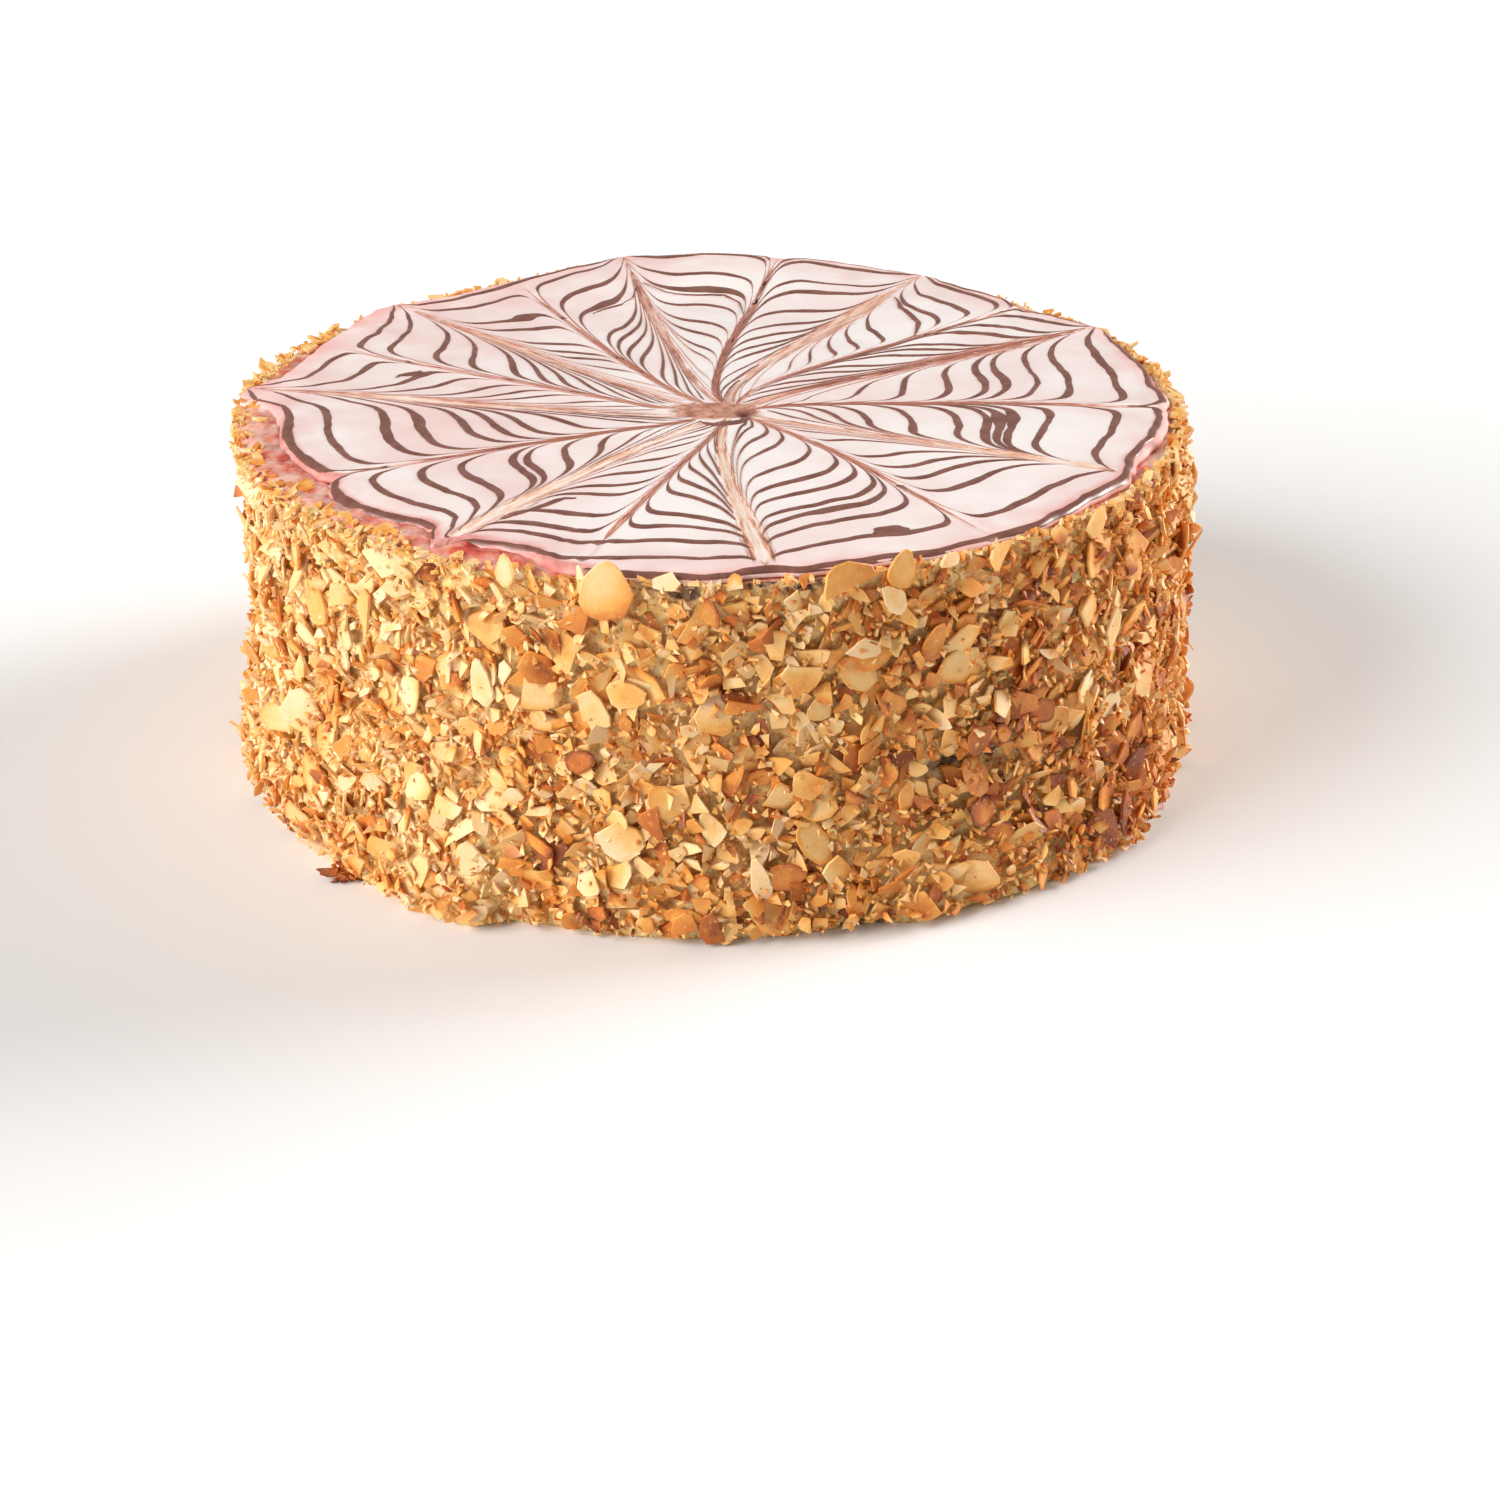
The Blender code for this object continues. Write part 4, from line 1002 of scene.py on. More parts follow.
def cream_coat(finish):
    """The cake in its cream, with a lip outside the fondant, lumps on the side, hollows of bare sponge, and
    hollows of painted shadow in the sponge colour at the foot.
    """
    turn = np.linspace(0.0, TAU, COAT_COLUMNS, endpoint=False)
    lip = between(LIP, np.degrees(turn)) * MM
    edge = np.minimum(LIP_RADIUS, coat_radius(lip, turn) - 0.4 * MM)
    rows = [round_points(turn, radius * MM, CAKE_TOP) for radius in INNER_ROWS]
    rows.append(round_points(turn, edge - 0.6 * MM, lip - 0.5 * MM))
    rows.append(round_points(turn, edge, lip))
    for height in np.arange(HIGHEST_LIP, 0.8 * MM, -COAT_STEP):
        level = np.minimum(height, lip - 0.15 * MM - 0.3 * (HIGHEST_LIP - height))
        ring = round_points(turn, coat_radius(level, turn), level)
        fine = 0.9 * ripple(ring, 2.4 * MM, 6.0) + 0.5 * ripple(ring, 1.1 * MM, 9.0)
        out = coat_lumps(ring) * smooth(86.0, 80.0, height / MM) * smooth(0.0, 4.0, height / MM) + fine * MM
        ring[:, :2] *= (1.0 + out / COAT_RADIUS)[:, None]
        rows.append(ring)
    rows.append(round_points(turn, coat_radius(0.0, turn) - 0.6 * MM, 0.0))
    rows.append(round_points(turn, UNDER_ROW * MM, 0.0))
    rows = np.array(rows)
    degrees = np.degrees(np.arctan2(rows[..., 1], rows[..., 0])) % 360.0
    sponge_and_foot_shade = sponge_and_foot_shade_at(degrees, rows[..., 2] / MM)
    rows[..., :2] *= (1.0 - HOLLOW * sponge_and_foot_shade * smooth(86.0, 78.0, rows[..., 2] / MM))[..., None]
    points, faces = closed_round(lean(rows))
    return mesh_piece("cream_coat", points, faces, finish, {"sponge_and_foot_shade": with_middles(sponge_and_foot_shade)})


# ---------------------------------------------------------------- almonds

CELL = 0.5 * MM
ROUND_CELLS = round(TAU * COAT_RADIUS / CELL)
TALL_CELLS = 184
ALMOND_SEED = 23
ALONG = np.array([1.0, 0.0, 0.0])
BACK = np.array([0.0, 1.0, 0.0])
UP = np.array([0.0, 0.0, 1.0])
# Kinds of almond piece: corners, fewest and most broken sides, shortest and longest in mm, how much
# commoner the short ones are, width as a share of the length, thickness in mm, how much each tilts by
# itself, how far it follows the slope under it, and how far out in mm the pile may be there.
SLICE = {
    "corners": 14, "breaks": (0, 3), "length": (5.5, 12.5), "uneven": 1.5, "width": (0.55, 0.9),
    "thick": (0.6, 0.95), "tilt": 0.20, "follow": 0.25, "limit": 2.2,
}
SHARD = {
    "corners": 9, "breaks": (1, 3), "length": (2.6, 7.4), "uneven": 1.5, "width": (0.4, 0.95),
    "thick": (0.5, 0.95), "tilt": 0.34, "follow": 0.3, "limit": 2.4,
}
CRUMB = {
    "corners": 5, "breaks": (1, 1), "length": (1.1, 3.2), "uneven": 1.6, "width": (0.5, 1.0),
    "thick": (0.6, 1.3), "tilt": 0.45, "follow": 0.5, "limit": 2.6,
}
GRIT = {
    "corners": 5, "breaks": (1, 1), "length": (0.6, 2.2), "uneven": 1.5, "width": (0.5, 1.0),
    "thick": (0.6, 1.3), "tilt": 0.6, "follow": 0.5, "limit": 3.6,
}
# The rings of corners on each kind, from the outer face inward: share of its outline, share of its thickness.
SLICE_RINGS = ((0.62, 1.0), (0.95, 0.97), (1.0, 0.5), (0.95, 0.03))
SHARD_RINGS = ((0.96, 1.0), (1.0, 0.12))
CRUMB_RINGS = ((0.85, 0.9), (1.0, 0.2))
GRIT_RINGS = ((1.0, 0.35),)
# How far almonds stand past the cream's lip: degrees round the cake, mm.
PAST_LIP = (
    (0.0, 0.8), (15.0, 0.4), (40.0, 0.15), (140.0, 0.15), (152.0, 0.5), (172.0, 0.5), (185.0, 0.3),
    (240.0, 0.6), (256.0, 0.9), (320.0, 1.1), (345.0, 0.9), (360.0, 0.8),
)
WHOLE = {**SLICE, "breaks": (0, 2)}
EYE_CATCHER_OUT = 2.9 * MM
EYE_CATCHER_THICK = 0.9 * MM
# Slices that catch the eye: degrees, height, length and width in mm, turn in degrees, slope out, toast.
EYE_CATCHERS = (
    (260.3, 82.6, 13.6, 12.0, 84.0, 0.02, 0.38), (285.2, 83.2, 13.0, 9.6, 12.0, -0.15, 0.50),
    (256.4, 75.4, 9.5, 7.5, 60.0, 0.1, 0.72), (270.3, 77.6, 9.0, 6.4, 82.0, 0.15, 0.50),
    (277.2, 70.4, 9.6, 6.6, 155.0, -0.1, 0.34), (286.3, 67.7, 11.5, 4.6, 165.0, 0.2, 0.10),
    (280.1, 62.1, 10.0, 8.0, 20.0, 0.0, 0.34), (256.1, 42.0, 8.0, 5.6, 30.0, 0.2, 0.78),
    (280.7, 36.9, 8.4, 7.4, 10.0, 0.1, 0.40), (263.6, 28.2, 11.0, 6.8, 62.0, 0.15, 0.78),
    (265.4, 34.0, 10.0, 8.6, 130.0, 0.3, 0.42), (259.9, 24.2, 12.0, 9.6, 145.0, 0.1, 0.14),
    (275.0, 14.9, 13.5, 4.6, 100.0, 0.25, 0.06), (277.8, 15.8, 9.6, 6.6, 8.0, 0.0, 0.74),
    (261.6, 58.4, 9.4, 6.8, 0.0, 0.1, 0.36), (257.9, 54.5, 11.0, 6.2, 112.0, 0.1, 0.12),
    (269.8, 4.6, 8.6, 6.4, 95.0, 0.1, 0.84), (266.8, 5.0, 7.6, 6.2, 80.0, 0.1, 0.66),
    (320.5, 54.3, 12.5, 5.2, 80.0, 0.2, 0.10), (315.9, 61.3, 11.0, 8.0, 70.0, 0.1, 0.44),
    (294.8, 66.0, 10.5, 4.6, 70.0, 0.2, 0.70), (249.4, 85.0, 8.0, 4.2, 84.0, 0.1, 0.16),
    (291.0, 84.6, 8.6, 6.4, 70.0, -0.1, 0.40), (290.1, 78.0, 8.6, 5.0, 130.0, 0.2, 0.08),
    (240.0, 26.0, 8.5, 6.6, 30.0, 0.1, 0.08), (229.0, 66.0, 12.0, 5.4, 80.0, 0.1, 0.30),
    (220.0, 62.0, 10.5, 8.0, 75.0, 0.1, 0.46), (245.0, 57.0, 12.0, 5.2, 95.0, 0.1, 0.05),
    (300.4, 41.5, 9.5, 6.0, 70.0, 0.1, 0.80), (327.0, 26.0, 10.0, 6.4, 50.0, 0.2, 0.74),
    (296.5, 84.2, 5.4, 4.4, 20.0, -0.2, 0.12), (303.0, 83.2, 8.4, 5.0, 24.0, -0.2, 0.40),
    (311.0, 83.6, 6.5, 3.8, 150.0, 0.2, 0.50), (317.5, 82.8, 8.0, 5.4, 60.0, 0.1, 0.30),
)


COLUMN_DEGREES = np.arange(ROUND_CELLS + 1) * 360.0 / ROUND_CELLS
ROW_LEVELS = np.arange(TALL_CELLS) * CELL / MM
LIP_BY_COLUMN = between(LIP, COLUMN_DEGREES) * MM
PAST_BY_COLUMN = between(PAST_LIP, COLUMN_DEGREES) * MM
BARE_CELLS = sponge_and_foot_shade_at(COLUMN_DEGREES[None, :ROUND_CELLS], ROW_LEVELS[:, None]) > 0.5
LIMIT_BY_ROW = 1.0 - 0.6 * smooth(73.0, 82.0, ROW_LEVELS)
PRESS_LEVELS = (0.4, 85.2)  # mm up, of the lowest and the highest almond
PRESS_TRIES = 4
PAST_SHARE = 0.72  # of an almond's half height counts as past the lip
BEDDING = 0.75  # share of the slope under it that an almond takes
PROPPED = 0.12  # share of its slope that an almond stands off by


def press_on(pile, rng, kind, count):
    """Presses almonds onto the coat one by one, each resting on what lies under it.

    The pile is how far out the coat reaches in each cell of the side, and grows. Returns a row for each
    almond: angle, height, how far out, slopes along and across it, turn, half length, half width, thickness.
    """
    rows = []
    shortest, longest = kind["length"]
    for _ in range(count):
        half = 0.5 * MM * (shortest + (longest - shortest) * rng.random() ** kind["uneven"])
        wide = half * rng.uniform(*kind["width"])
        thick = rng.uniform(*kind["thick"]) * MM
        for _ in range(PRESS_TRIES):
            angle, height = rng.uniform(0.0, TAU), rng.uniform(*PRESS_LEVELS) * MM
            turn = rng.uniform(0.0, TAU)
            row, column = int(height / CELL), int(angle / TAU * ROUND_CELLS)
            tall = math.hypot(half * math.sin(turn), wide * math.cos(turn))
            highest = LIP_BY_COLUMN[column] + rng.exponential(PAST_BY_COLUMN[column])
            too_high = height + PAST_SHARE * tall > highest
            if BARE_CELLS[row, column] or height - tall < 0.3 * MM or too_high:
                continue
            cells = int(half / CELL) + 1
            up = np.arange(max(row - cells, 0), min(row + cells + 1, TALL_CELLS))
            along = np.arange(column - cells, column + cells + 1)
            dx, dy = (along[None] - column) * CELL, (up[:, None] - row) * CELL
            x = (dx * math.cos(turn) + dy * math.sin(turn)) / half
            y = (dy * math.cos(turn) - dx * math.sin(turn)) / wide
            inside = x * x + y * y <= 1.0
            patch = np.ix_(up, along % ROUND_CELLS)
            under = pile[patch]
            here = under[inside]
            rest = here.mean() + 0.5 * here.std()
            if rest <= kind["limit"] * MM * LIMIT_BY_ROW[row]:
                break
        else:
            continue
        slopes = []
        for away, size in ((x[inside], half), (y[inside], wide)):
            slope = (away * here).sum() / ((away * away).sum() * size + EPSILON) * BEDDING
            slopes.append(min(max(slope, -kind["follow"]), kind["follow"]) + rng.normal(0.0, kind["tilt"]))
        slope_x, slope_y = slopes
        rest += PROPPED * (abs(slope_x) * half + abs(slope_y) * wide)
        face = rest + thick + slope_x * x * half + slope_y * y * wide
        pile[patch] = np.where(inside, np.maximum(under, face), under)
        rows.append((angle, height, rest, slope_x, slope_y, turn, half, wide, thick))
    return np.array(rows)


def strewn(pile, rng, kind, count):
    """Rows like those of press_on for small bits that stick wherever they fall."""
    angle = rng.uniform(0.0, TAU, count)
    column = (angle / TAU * ROUND_CELLS).astype(int)
    height = rng.uniform(0.3 * MM, LIP_BY_COLUMN[column] + 0.3 * MM)
    row = (height / CELL).astype(int)
    rest = pile[row, column] - 0.25 * MM
    shortest, longest = kind["length"]
    half = 0.5 * MM * (shortest + (longest - shortest) * rng.random(count) ** kind["uneven"])
    slopes = rng.normal(0.0, kind["tilt"], (2, count))
    thick = rng.uniform(*kind["thick"], count) * MM
    wide = half * rng.uniform(*kind["width"], count)
    rows = np.column_stack([angle, height, rest, *slopes, rng.uniform(0.0, TAU, count), half, wide, thick])
    kept = ~BARE_CELLS[row, column] | (rng.random(count) < 0.25)
    return rows[kept & (rest < rng.uniform(-1.0, kind["limit"], count) * MM)]


def outlines(rng, count, kind):
    """Outlines of almonds with some sides broken off straight, and narrower at one end.

    Returns x and y from -1 to 1 for each corner, and whether it still has the almond's skin.
    """
    fewest, most = kind["breaks"]
    plain = kind["corners"] - 2 * most
    toward, away = rng.uniform(0.0, TAU, (count, most)), rng.uniform(0.22, 0.8, (count, most))
    broken = np.arange(most) < rng.integers(fewest, most + 1, (count, 1))
    uneven = rng.uniform(-0.35, 0.35, (count, plain)) * TAU / plain
    corners = np.linspace(0.0, TAU, plain, endpoint=False) + uneven
    turn = np.concatenate([corners, toward - np.arccos(away), toward + np.arccos(away)], axis=1) % TAU
    turn.sort(axis=1)
    facing = np.cos(turn[..., None] - toward[:, None])
    cut = broken[:, None] & (facing > away[:, None])
    reach = np.where(cut, away[:, None] / np.maximum(facing, 0.05), 1.0).min(axis=-1)
    whole = reach > 0.97
    reach *= 1.0 + rng.normal(0.0, 0.035, reach.shape)
    x, y = reach * np.cos(turn), reach * np.sin(turn)
    return x, y * (1.0 - 0.28 * x), whole


def almond_faces(rings, corners):
    """Faces of one almond: a middle, rings of corners and the middle below."""
    last = 1 + (rings - 1) * corners
    below = 1 + rings * corners
    faces = []
    for i in range(corners):
        j = (i + 1) % corners
        faces.append((0, 1 + i, 1 + j))
        for ring in range(rings - 1):
            a, b = 1 + ring * corners + i, 1 + ring * corners + j
            faces += [(a, a + corners, b), (b, a + corners, b + corners)]
        faces.append((below, last + j, last + i))
    return np.array(faces)


def on_side(spots):
    """Where almonds lie on the side, and the ways out, along and up there."""
    angle, height = spots[:, 0], spots[:, 1]
    place = round_points(angle, coat_radius(height, angle), height)
    beside = round_points(angle + TAU / 4.0, 1.0, 0.0)
    return place, round_points(angle, 1.0, 0.0), beside, np.broadcast_to(UP, place.shape)


LARGE_HALF = 6.0 * MM  # half the length of an almond whose cup and twist are whole
CREASE = 34.0  # degrees


def almond_piece(name, rng, kind, rings, spots, places, toast, finish):
    """One mesh of many almonds. Places hold where each lies, and the ways out, along and up there."""
    count, corners = len(spots), kind["corners"]
    x, y, whole = outlines(rng, count, kind)
    rest, slope_x, slope_y, turn, half, wide, thick = (column[:, None] for column in spots.T[2:])
    middle = np.zeros((count, 1))
    shape = [(middle, middle, middle + 1.0, middle)]
    for size, level in rings:
        shape.append((x * size, y * size, np.full_like(x, level), whole * (size > 0.9)))
    shape.append((middle, middle, middle, middle))
    x, y, level, skin = (np.concatenate(parts, axis=1) for parts in zip(*shape))
    large = half / LARGE_HALF
    cup = rng.uniform(-0.35, 0.8, (count, 1)) * large**2 * MM
    twist = rng.normal(0.0, 0.3, (count, 1)) * large * MM
    out = rest + level * thick * (1.0 - 0.25 * x) - cup * (x * x - 0.3) + twist * x * y
    out += slope_x * x * half + slope_y * y * wide
    along = x * half * np.cos(turn) - y * wide * np.sin(turn)
    up = x * half * np.sin(turn) + y * wide * np.cos(turn)
    place, *ways = places
    steps = [way[:, None] * length[..., None] for way, length in zip(ways, (out, along, up))]
    points = lean(place[:, None] + sum(steps))
    points[..., 2] = np.maximum(points[..., 2], FLOOR_GAP)
    drift, drift_turn = rng.normal(0.0, 0.15, (count, 1)), rng.uniform(0.0, TAU, (count, 1))
    browned = rng.normal(0.03, 0.09, (count, 1)) * (1.0 - np.hypot(x, y))
    browned += drift * (x * np.cos(drift_turn) + y * np.sin(drift_turn))
    browned += skin * np.maximum(rng.normal(0.05, 0.16, (count, 1)), 0.0) - 0.07 * (level < 0.9)
    pattern = almond_faces(len(rings), corners)
    each = 2 + len(rings) * corners
    faces = (pattern[None] + (np.arange(count) * each)[:, None, None]).reshape(-1, 3).tolist()
    marks = {"toast": np.clip(toast[:, None] + browned, 0.0, 1.0)}
    return mesh_piece(name, points, faces, finish, marks, sharp=CREASE)


# Painted light and shade on the almonds round the cake, given as how much browner they are made: paler where
# the light falls full at the left and at the right edge, browner in the shade at the front right: degrees,
# level.
PAINTED_SIDE_LIGHT = (
    (0.0, -0.08), (60.0, -0.04), (180.0, -0.14), (225.0, -0.13), (255.0, -0.03), (275.0, 0.02),
    (298.0, 0.18), (326.0, 0.15), (342.0, 0.0), (352.0, -0.08), (360.0, -0.08),
)


def toast_levels(rng, spots, dark):
    """How toasted each almond is: most are golden, some pale and some brown, in loose groups, with painted
    light and shade by side of the cake, and a little browner towards the foot.
    """
    place = round_points(spots[:, 0], COAT_RADIUS, spots[:, 1])
    grouped = 0.24 * ripple(place, 16.0 * MM, 12.0) + 0.16 * ripple(place, 42.0 * MM, 5.0)
    foot = 0.06 * smooth(22.0, 2.0, spots[:, 1] / MM)
    # Painted light and shade: paler on the lit left and right edge, browner on the shaded front right, plus
    # the foot term, which makes them a little browner towards the bottom.
    painted_side_light_and_foot = between(PAINTED_SIDE_LIGHT, np.degrees(spots[:, 0]) % 360.0) + foot
    draw = rng.random(len(spots))
    level = np.where(draw < 0.34, rng.uniform(0.03, 0.26, len(spots)), rng.uniform(0.22, 0.52, len(spots)))
    level = np.where(draw > 0.86 - dark, rng.uniform(0.55, 0.86, len(spots)), level)
    return np.clip(level + grouped + painted_side_light_and_foot, 0.02, 0.95)


def eye_catchers():
    """Rows like those of press_on for the slices that catch the eye, and how toasted each is."""
    angle, height, length, width, turn, slope, toast = np.array(EYE_CATCHERS).T
    out, across = np.full_like(angle, EYE_CATCHER_OUT), np.zeros_like(angle)
    shape = np.radians(turn), 0.5 * length * MM, 0.5 * width * MM, np.full_like(angle, EYE_CATCHER_THICK)
    return np.column_stack([np.radians(angle), height * MM, out, slope, across, *shape]), toast


LUMP_CELLS = 4  # the cream's lumps are read at every such cell of the pile
BURIED_CRUMBS = 5000
LAYERS = 10
SHARDS_FIRST, SLICES_EACH, SHARDS_AFTER = 280, 105, 330
LATE_CRUMBS = 5200
GRIT_BITS = 21000


def almond_coat(finish):
    """Crumbs in the cream first, then slices and shards over them, then more crumbs and grit."""
    rng = np.random.default_rng(ALMOND_SEED)
    every = np.arange(0, TALL_CELLS, LUMP_CELLS), np.arange(0, ROUND_CELLS, LUMP_CELLS)
    grid_height, grid_turn = np.meshgrid(*every, indexing="ij")
    lumps = coat_lumps(round_points(grid_turn * TAU / ROUND_CELLS, COAT_RADIUS, grid_height * CELL))
    pile = lumps.repeat(LUMP_CELLS, 0).repeat(LUMP_CELLS, 1)[:TALL_CELLS, :ROUND_CELLS]
    buried = press_on(pile, rng, CRUMB, BURIED_CRUMBS)
    slices, shards = [], []
    for _ in range(LAYERS):
        shards.append(press_on(pile, rng, SHARD, SHARDS_FIRST))
        slices.append(press_on(pile, rng, SLICE, SLICES_EACH))
        shards.append(press_on(pile, rng, SHARD, SHARDS_AFTER))
    late = press_on(pile, rng, CRUMB, LATE_CRUMBS)
    grit = strewn(pile, rng, GRIT, GRIT_BITS)
    # Each kind: its rows, and how much commoner brown ones are in it.
    kinds = (
        ("almond_crumbs", CRUMB, CRUMB_RINGS, buried, 0.0),
        ("almond_slices", SLICE, SLICE_RINGS, np.concatenate(slices), 0.06),
        ("almond_shards", SHARD, SHARD_RINGS, np.concatenate(shards), 0.04),
        ("almond_nibs", CRUMB, CRUMB_RINGS, late, 0.0),
        ("almond_grit", GRIT, GRIT_RINGS, grit, -0.14),
    )
    pieces = []
    for name, kind, rings, spots, dark in kinds:
        toast = toast_levels(rng, spots, dark)
        pieces.append(almond_piece(name, rng, kind, rings, spots, on_side(spots), toast, finish))
    spots, toast = eye_catchers()
    places = on_side(spots)
    pieces.append(almond_piece("almond_showpieces", rng, WHOLE, SLICE_RINGS, spots, places, toast, finish))
    return pieces


RIM_BIT_SEED = 31
# Almond bits on the jam's outer part and at the rim: degrees from and to, mm from the middle, how many.
RIM_BITS = (
    (178.0, 210.0, 110.0, 114.8, 60), (210.0, 236.0, 110.0, 115.6, 100), (236.0, 256.0, 113.0, 116.0, 50),
    (148.0, 176.0, 111.5, 116.0, 60), (104.0, 148.0, 111.5, 116.0, 60), (256.0, 345.0, 114.8, 116.4, 150),
    (345.0, 400.0, 114.5, 116.2, 90),
)
# Lumps at the rim, of cream and of jam-soaked almond: degrees, mm from the middle, mm long, toast.
RIM_LUMPS = (
    (78.5, 115.6, 7.0, 0.10), (119.5, 113.4, 6.4, 0.22), (129.5, 112.5, 9.0, 0.04),
    (147.5, 113.8, 8.0, 0.10), (354.0, 114.6, 7.0, 0.30), (22.0, 115.0, 6.0, 0.42),
    (11.5, 114.0, 6.0, 0.40), (35.5, 113.2, 7.0, 0.48), (186.0, 109.0, 8.5, 0.10),
    (212.5, 107.2, 6.5, 0.50), (202.0, 112.0, 8.0, 0.50), (162.5, 113.0, 6.0, 0.46),
)


JAM_SIDE = (178.0, 256.0)  # where the bits lie on the jam rather than on the cream
SUNK_IN_JAM = 0.4 * MM
SUNK_IN_CREAM = 0.3 * MM
BIT_LENGTHS = (1.2, 4.0)  # mm of the shortest, and more for the longest
LUMP_SLOPE = 0.4  # of a bit's


def rim_bits(finish):
    """Bits of almond that lie on the jam and on the lip of the cream, and then the lumps."""
    rng = np.random.default_rng(RIM_BIT_SEED)
    angle, radius = [], []
    for start, end, inner, outer, count in RIM_BITS:
        angle.append(np.radians(rng.uniform(start, end, count)))
        radius.append(outer - (outer - inner) * rng.random(count) ** 2.0)
    lump_angle, lump_radius, lump_length, lump_toast = np.array(RIM_LUMPS).T
    angle = np.concatenate([*angle, np.radians(lump_angle)])
    radius = np.concatenate([*radius, lump_radius])
    count, lumps = len(angle), len(RIM_LUMPS)
    shortest, more = BIT_LENGTHS
    half = 0.5 * MM * (shortest + more * rng.random(count) ** 2.4)
    half[-lumps:] = 0.5 * MM * lump_length
    slopes = rng.normal(0.0, 0.35, (2, count))
    slopes[:, -lumps:] *= LUMP_SLOPE
    turn = rng.uniform(0.0, TAU, count)
    wide = half * rng.uniform(0.5, 1.0, count)
    thick = rng.uniform(0.6, 1.1, count) * MM
    spots = np.column_stack([angle, np.zeros((count, 2)), *slopes, turn, half, wide, thick])
    degrees = np.degrees(angle) % 360.0
    jam_bed = JAM_FACE + BARE_RISE * smooth(*BARE_TO_EDGE, radius) * MM - SUNK_IN_JAM
    cream_bed = between(LIP, degrees) * MM - SUNK_IN_CREAM
    bed = np.where((degrees > JAM_SIDE[0]) & (degrees < JAM_SIDE[1]), jam_bed, cream_bed)
    place = round_points(angle, radius * MM, bed)
    inward = round_points(angle, -1.0, 0.0)
    places = place, np.broadcast_to(UP, place.shape), round_points(angle + TAU / 4.0, 1.0, 0.0), inward
    toast = np.clip(rng.normal(0.26, 0.16, count), 0.03, 0.8)
    toast[-lumps:] = lump_toast
    return almond_piece("rim_bits", rng, SHARD, SHARD_RINGS, spots, places, toast, finish)


CLUMP_PLACE = np.array([-84.6, -86.6, 1.6]) * MM
CLUMP_SIZE = np.array([3.9, 2.4, 2.2]) * MM
CLUMP_SEED = 41
CLUMP_CREASE = 50.0  # degrees
FLAKES = 26
FLAKE_SPREAD = np.array([2.4, 1.3, 0.6]) * MM
FLAKE_THICK = 0.8 * MM


def crust_clump(finish):
    """A browned scrap of crust that lies against the foot, front left, with flakes round it."""
    turn = np.linspace(0.0, TAU, 48, endpoint=False)
    dips = np.linspace(0.06, 0.94, 24) * math.pi
    ball = np.array([round_points(turn, math.sin(dip), math.cos(dip)) for dip in dips])
    crag = 1.0 + 1.3 * ripple(ball, 0.6, 3.0) + 0.9 * ripple(ball, 0.22, 8.0)
    points, faces = closed_round(ball * crag[..., None])
    points = points * CLUMP_SIZE + CLUMP_PLACE
    points[:, 2] = np.maximum(points[:, 2], FLOOR_GAP)
    toast = np.clip(with_middles(0.80 + 0.5 * (crag - 1.0)), 0.45, 1.0)
    clump = mesh_piece("crust_clump", points, faces, finish, {"toast": toast}, sharp=CLUMP_CREASE)
    rng = np.random.default_rng(CLUMP_SEED)
    place = CLUMP_PLACE + rng.normal(0.0, 1.0, (FLAKES, 3)) * FLAKE_SPREAD
    half = 0.5 * MM * rng.uniform(1.0, 3.6, FLAKES)
    slopes = rng.normal(0.0, 0.6, (2, FLAKES))
    turn, thick = rng.uniform(0.0, TAU, FLAKES), np.full(FLAKES, FLAKE_THICK)
    spots = np.column_stack([np.zeros((FLAKES, 3)), *slopes, turn, half, 0.6 * half, thick])
    places = place, *(np.broadcast_to(way, place.shape) for way in (UP, ALONG, BACK))
    toast = rng.uniform(0.6, 0.95, FLAKES)
    flakes = almond_piece("crust_flakes", rng, SHARD, SHARD_RINGS, spots, places, toast, finish)
    return [clump, flakes]


# ---------------------------------------------------------------- floor, light and camera


FLOOR_HALF = 4.0
FLOOR_LEVEL = -0.1 * MM
SUN_COLOUR = (1.0, 0.99, 0.97)
ROOM_LIGHT = 0.22
SENSOR_WIDTH = 36.0  # mm


def pale_floor():
    """A plain pale floor."""
    material, tree, shader = new_finish("pale_floor", 0.8)
    shade = mixed(tree, patches(tree, 400.0), linear(246, 246, 246), linear(243, 243, 243))
    tree.links.new(shade, shader.inputs["Base Color"])
    corners = np.array([(-1.0, -1.0, 0.0), (1.0, -1.0, 0.0), (1.0, 1.0, 0.0), (-1.0, 1.0, 0.0)]) * FLOOR_HALF
    corners[:, 2] = FLOOR_LEVEL
    return mesh_piece("floor", corners, [(0, 1, 2, 3)], material, {})


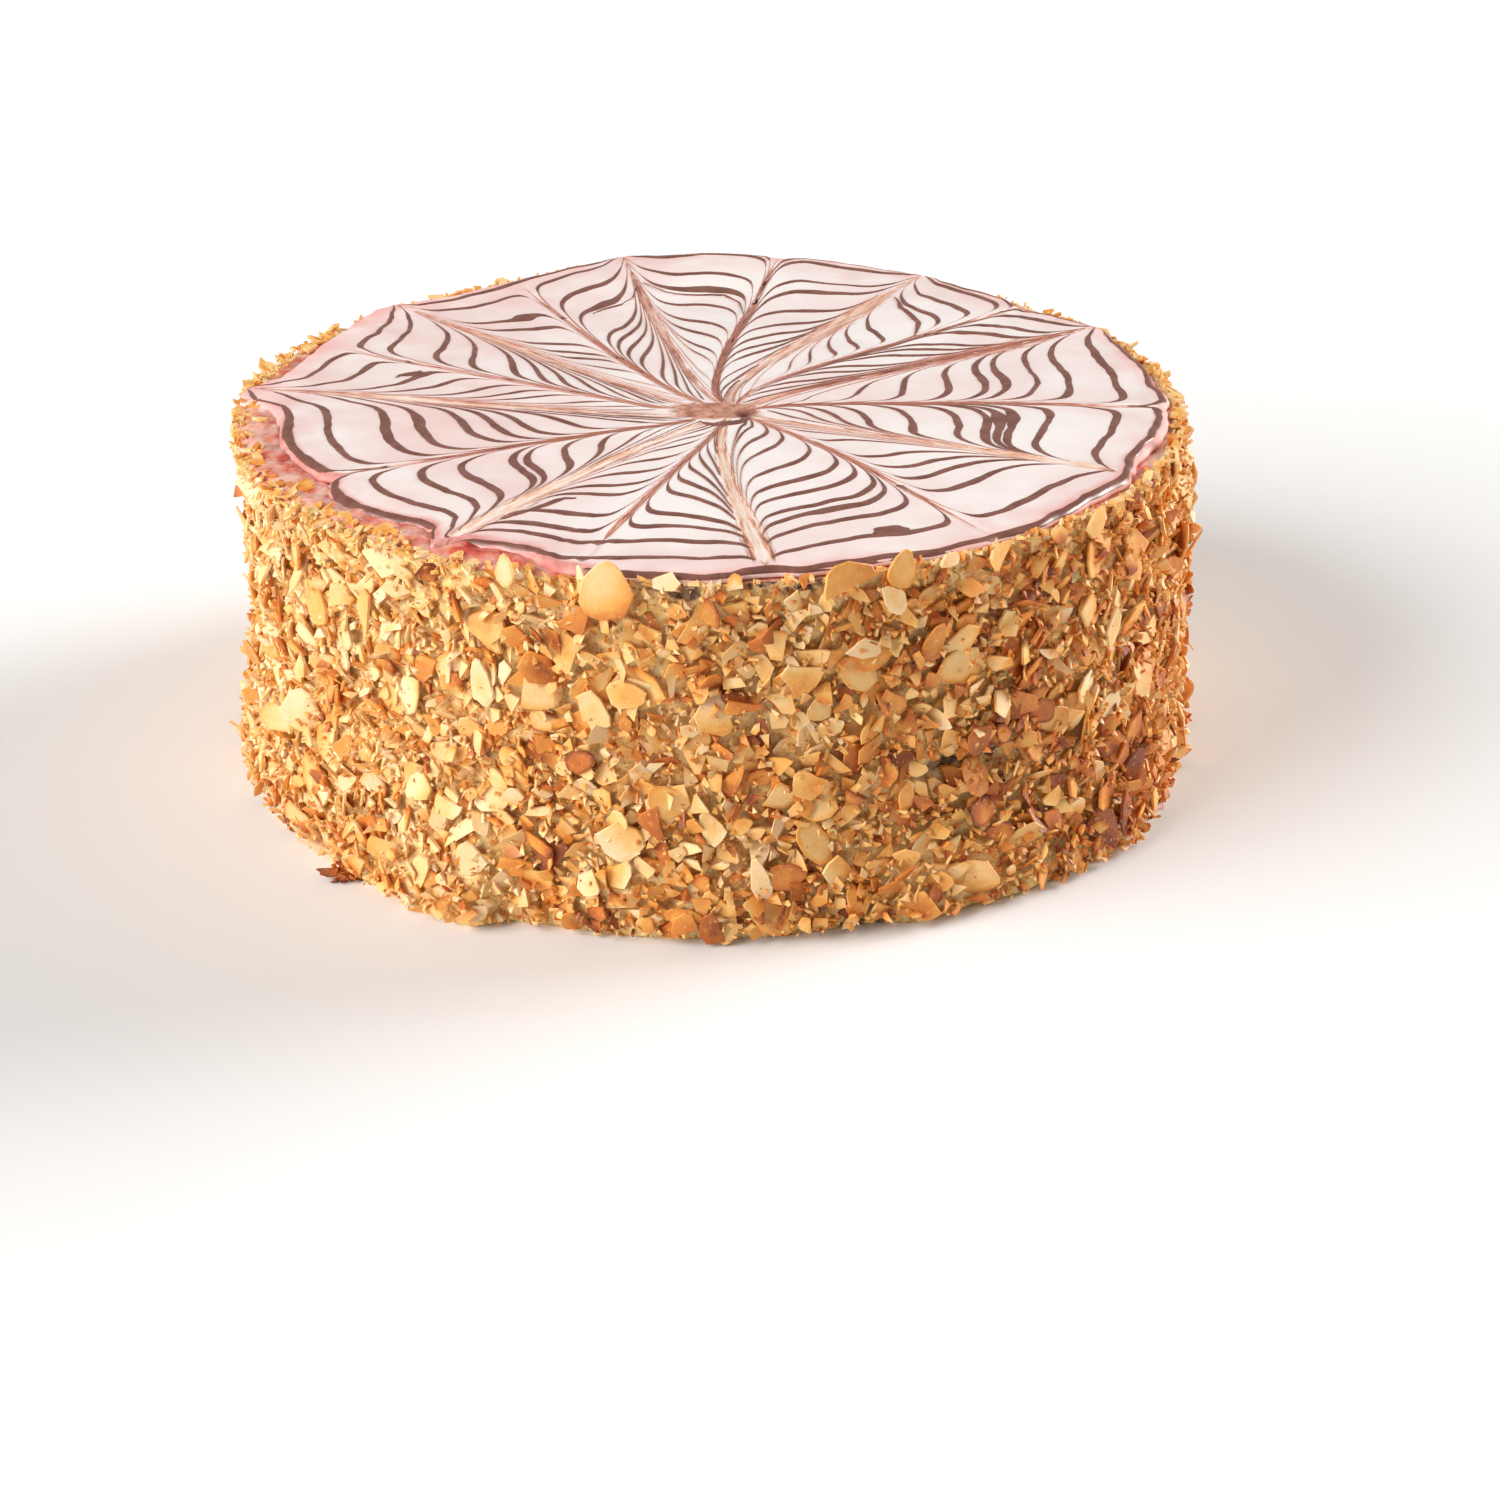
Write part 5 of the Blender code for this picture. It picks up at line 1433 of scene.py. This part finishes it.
def soft_light(name, toward, strength, softness):
    """Broad even light that comes from one direction. Softness is in degrees."""
    lamp = bpy.data.lights.new(name, "SUN")
    lamp.energy = strength
    lamp.angle = math.radians(softness)
    lamp.color = SUN_COLOUR
    lit = bpy.data.objects.new(name, lamp)
    lit.location = toward
    lit.rotation_euler = Vector(toward).to_track_quat("Z", "Y").to_euler()
    bpy.context.scene.collection.objects.link(lit)


def studio():
    """Soft light from the left, more from behind on the right, and a bright room."""
    world = bpy.data.worlds.new("studio")
    bpy.context.scene.world = world
    world.use_nodes = True
    sky = world.node_tree.nodes["Background"]
    sky.inputs["Color"].default_value = (1.0, 1.0, 1.0, 1.0)
    sky.inputs["Strength"].default_value = ROOM_LIGHT
    soft_light("left_box", toward=(-0.83, -0.35, 0.434), strength=4.05, softness=52.0)
    soft_light("right_rear_box", toward=(0.86, 0.40, 0.316), strength=3.9, softness=30.0)
    view = bpy.context.scene.view_settings
    view.view_transform = "Standard"
    view.look = "None"
    view.exposure = 0.0
    view.gamma = 1.0


def photo_camera():
    """The camera, with a 72 mm lens, which looks down at the front."""
    lens = bpy.data.cameras.new("camera")
    lens.lens = CAMERA_LENS
    lens.sensor_width = SENSOR_WIDTH
    lens.clip_end = 20.0
    camera = bpy.data.objects.new("camera", lens)
    tilt = Matrix.Rotation(math.pi / 2.0 - CAMERA_DIP, 4, "X") @ Matrix.Rotation(CAMERA_ROLL, 4, "Z")
    camera.matrix_world = Matrix.Translation(CAMERA_PLACE + Vector(CENTRING)) @ tilt
    bpy.context.scene.collection.objects.link(camera)
    bpy.context.scene.camera = camera


def main():
    """Makes the scene, hides the solids that it replaces, and hangs each piece on the root."""
    photo_camera()
    studio()
    pale_floor()
    almond = toasted_almond()
    cream = cream_coat(butter_cream())
    jam = jam_layer(wet_jam())
    sheet = fondant_sheet(poured_fondant())
    lines = chocolate_lines(piped_chocolate())
    almonds = [*almond_coat(almond), rim_bits(almond), *crust_clump(almond)]
    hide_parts("cake_body")
    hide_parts("jam_glaze")
    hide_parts("fondant_icing")
    slots = [(cream, "butter_cream"), (jam, "red_jam"), (sheet, "pink_fondant"), (lines, "chocolate_lines")]
    slots += [(piece, "toasted_almond_coat") for piece in almonds]
    for piece, slot in slots:
        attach(piece, "root")


main()
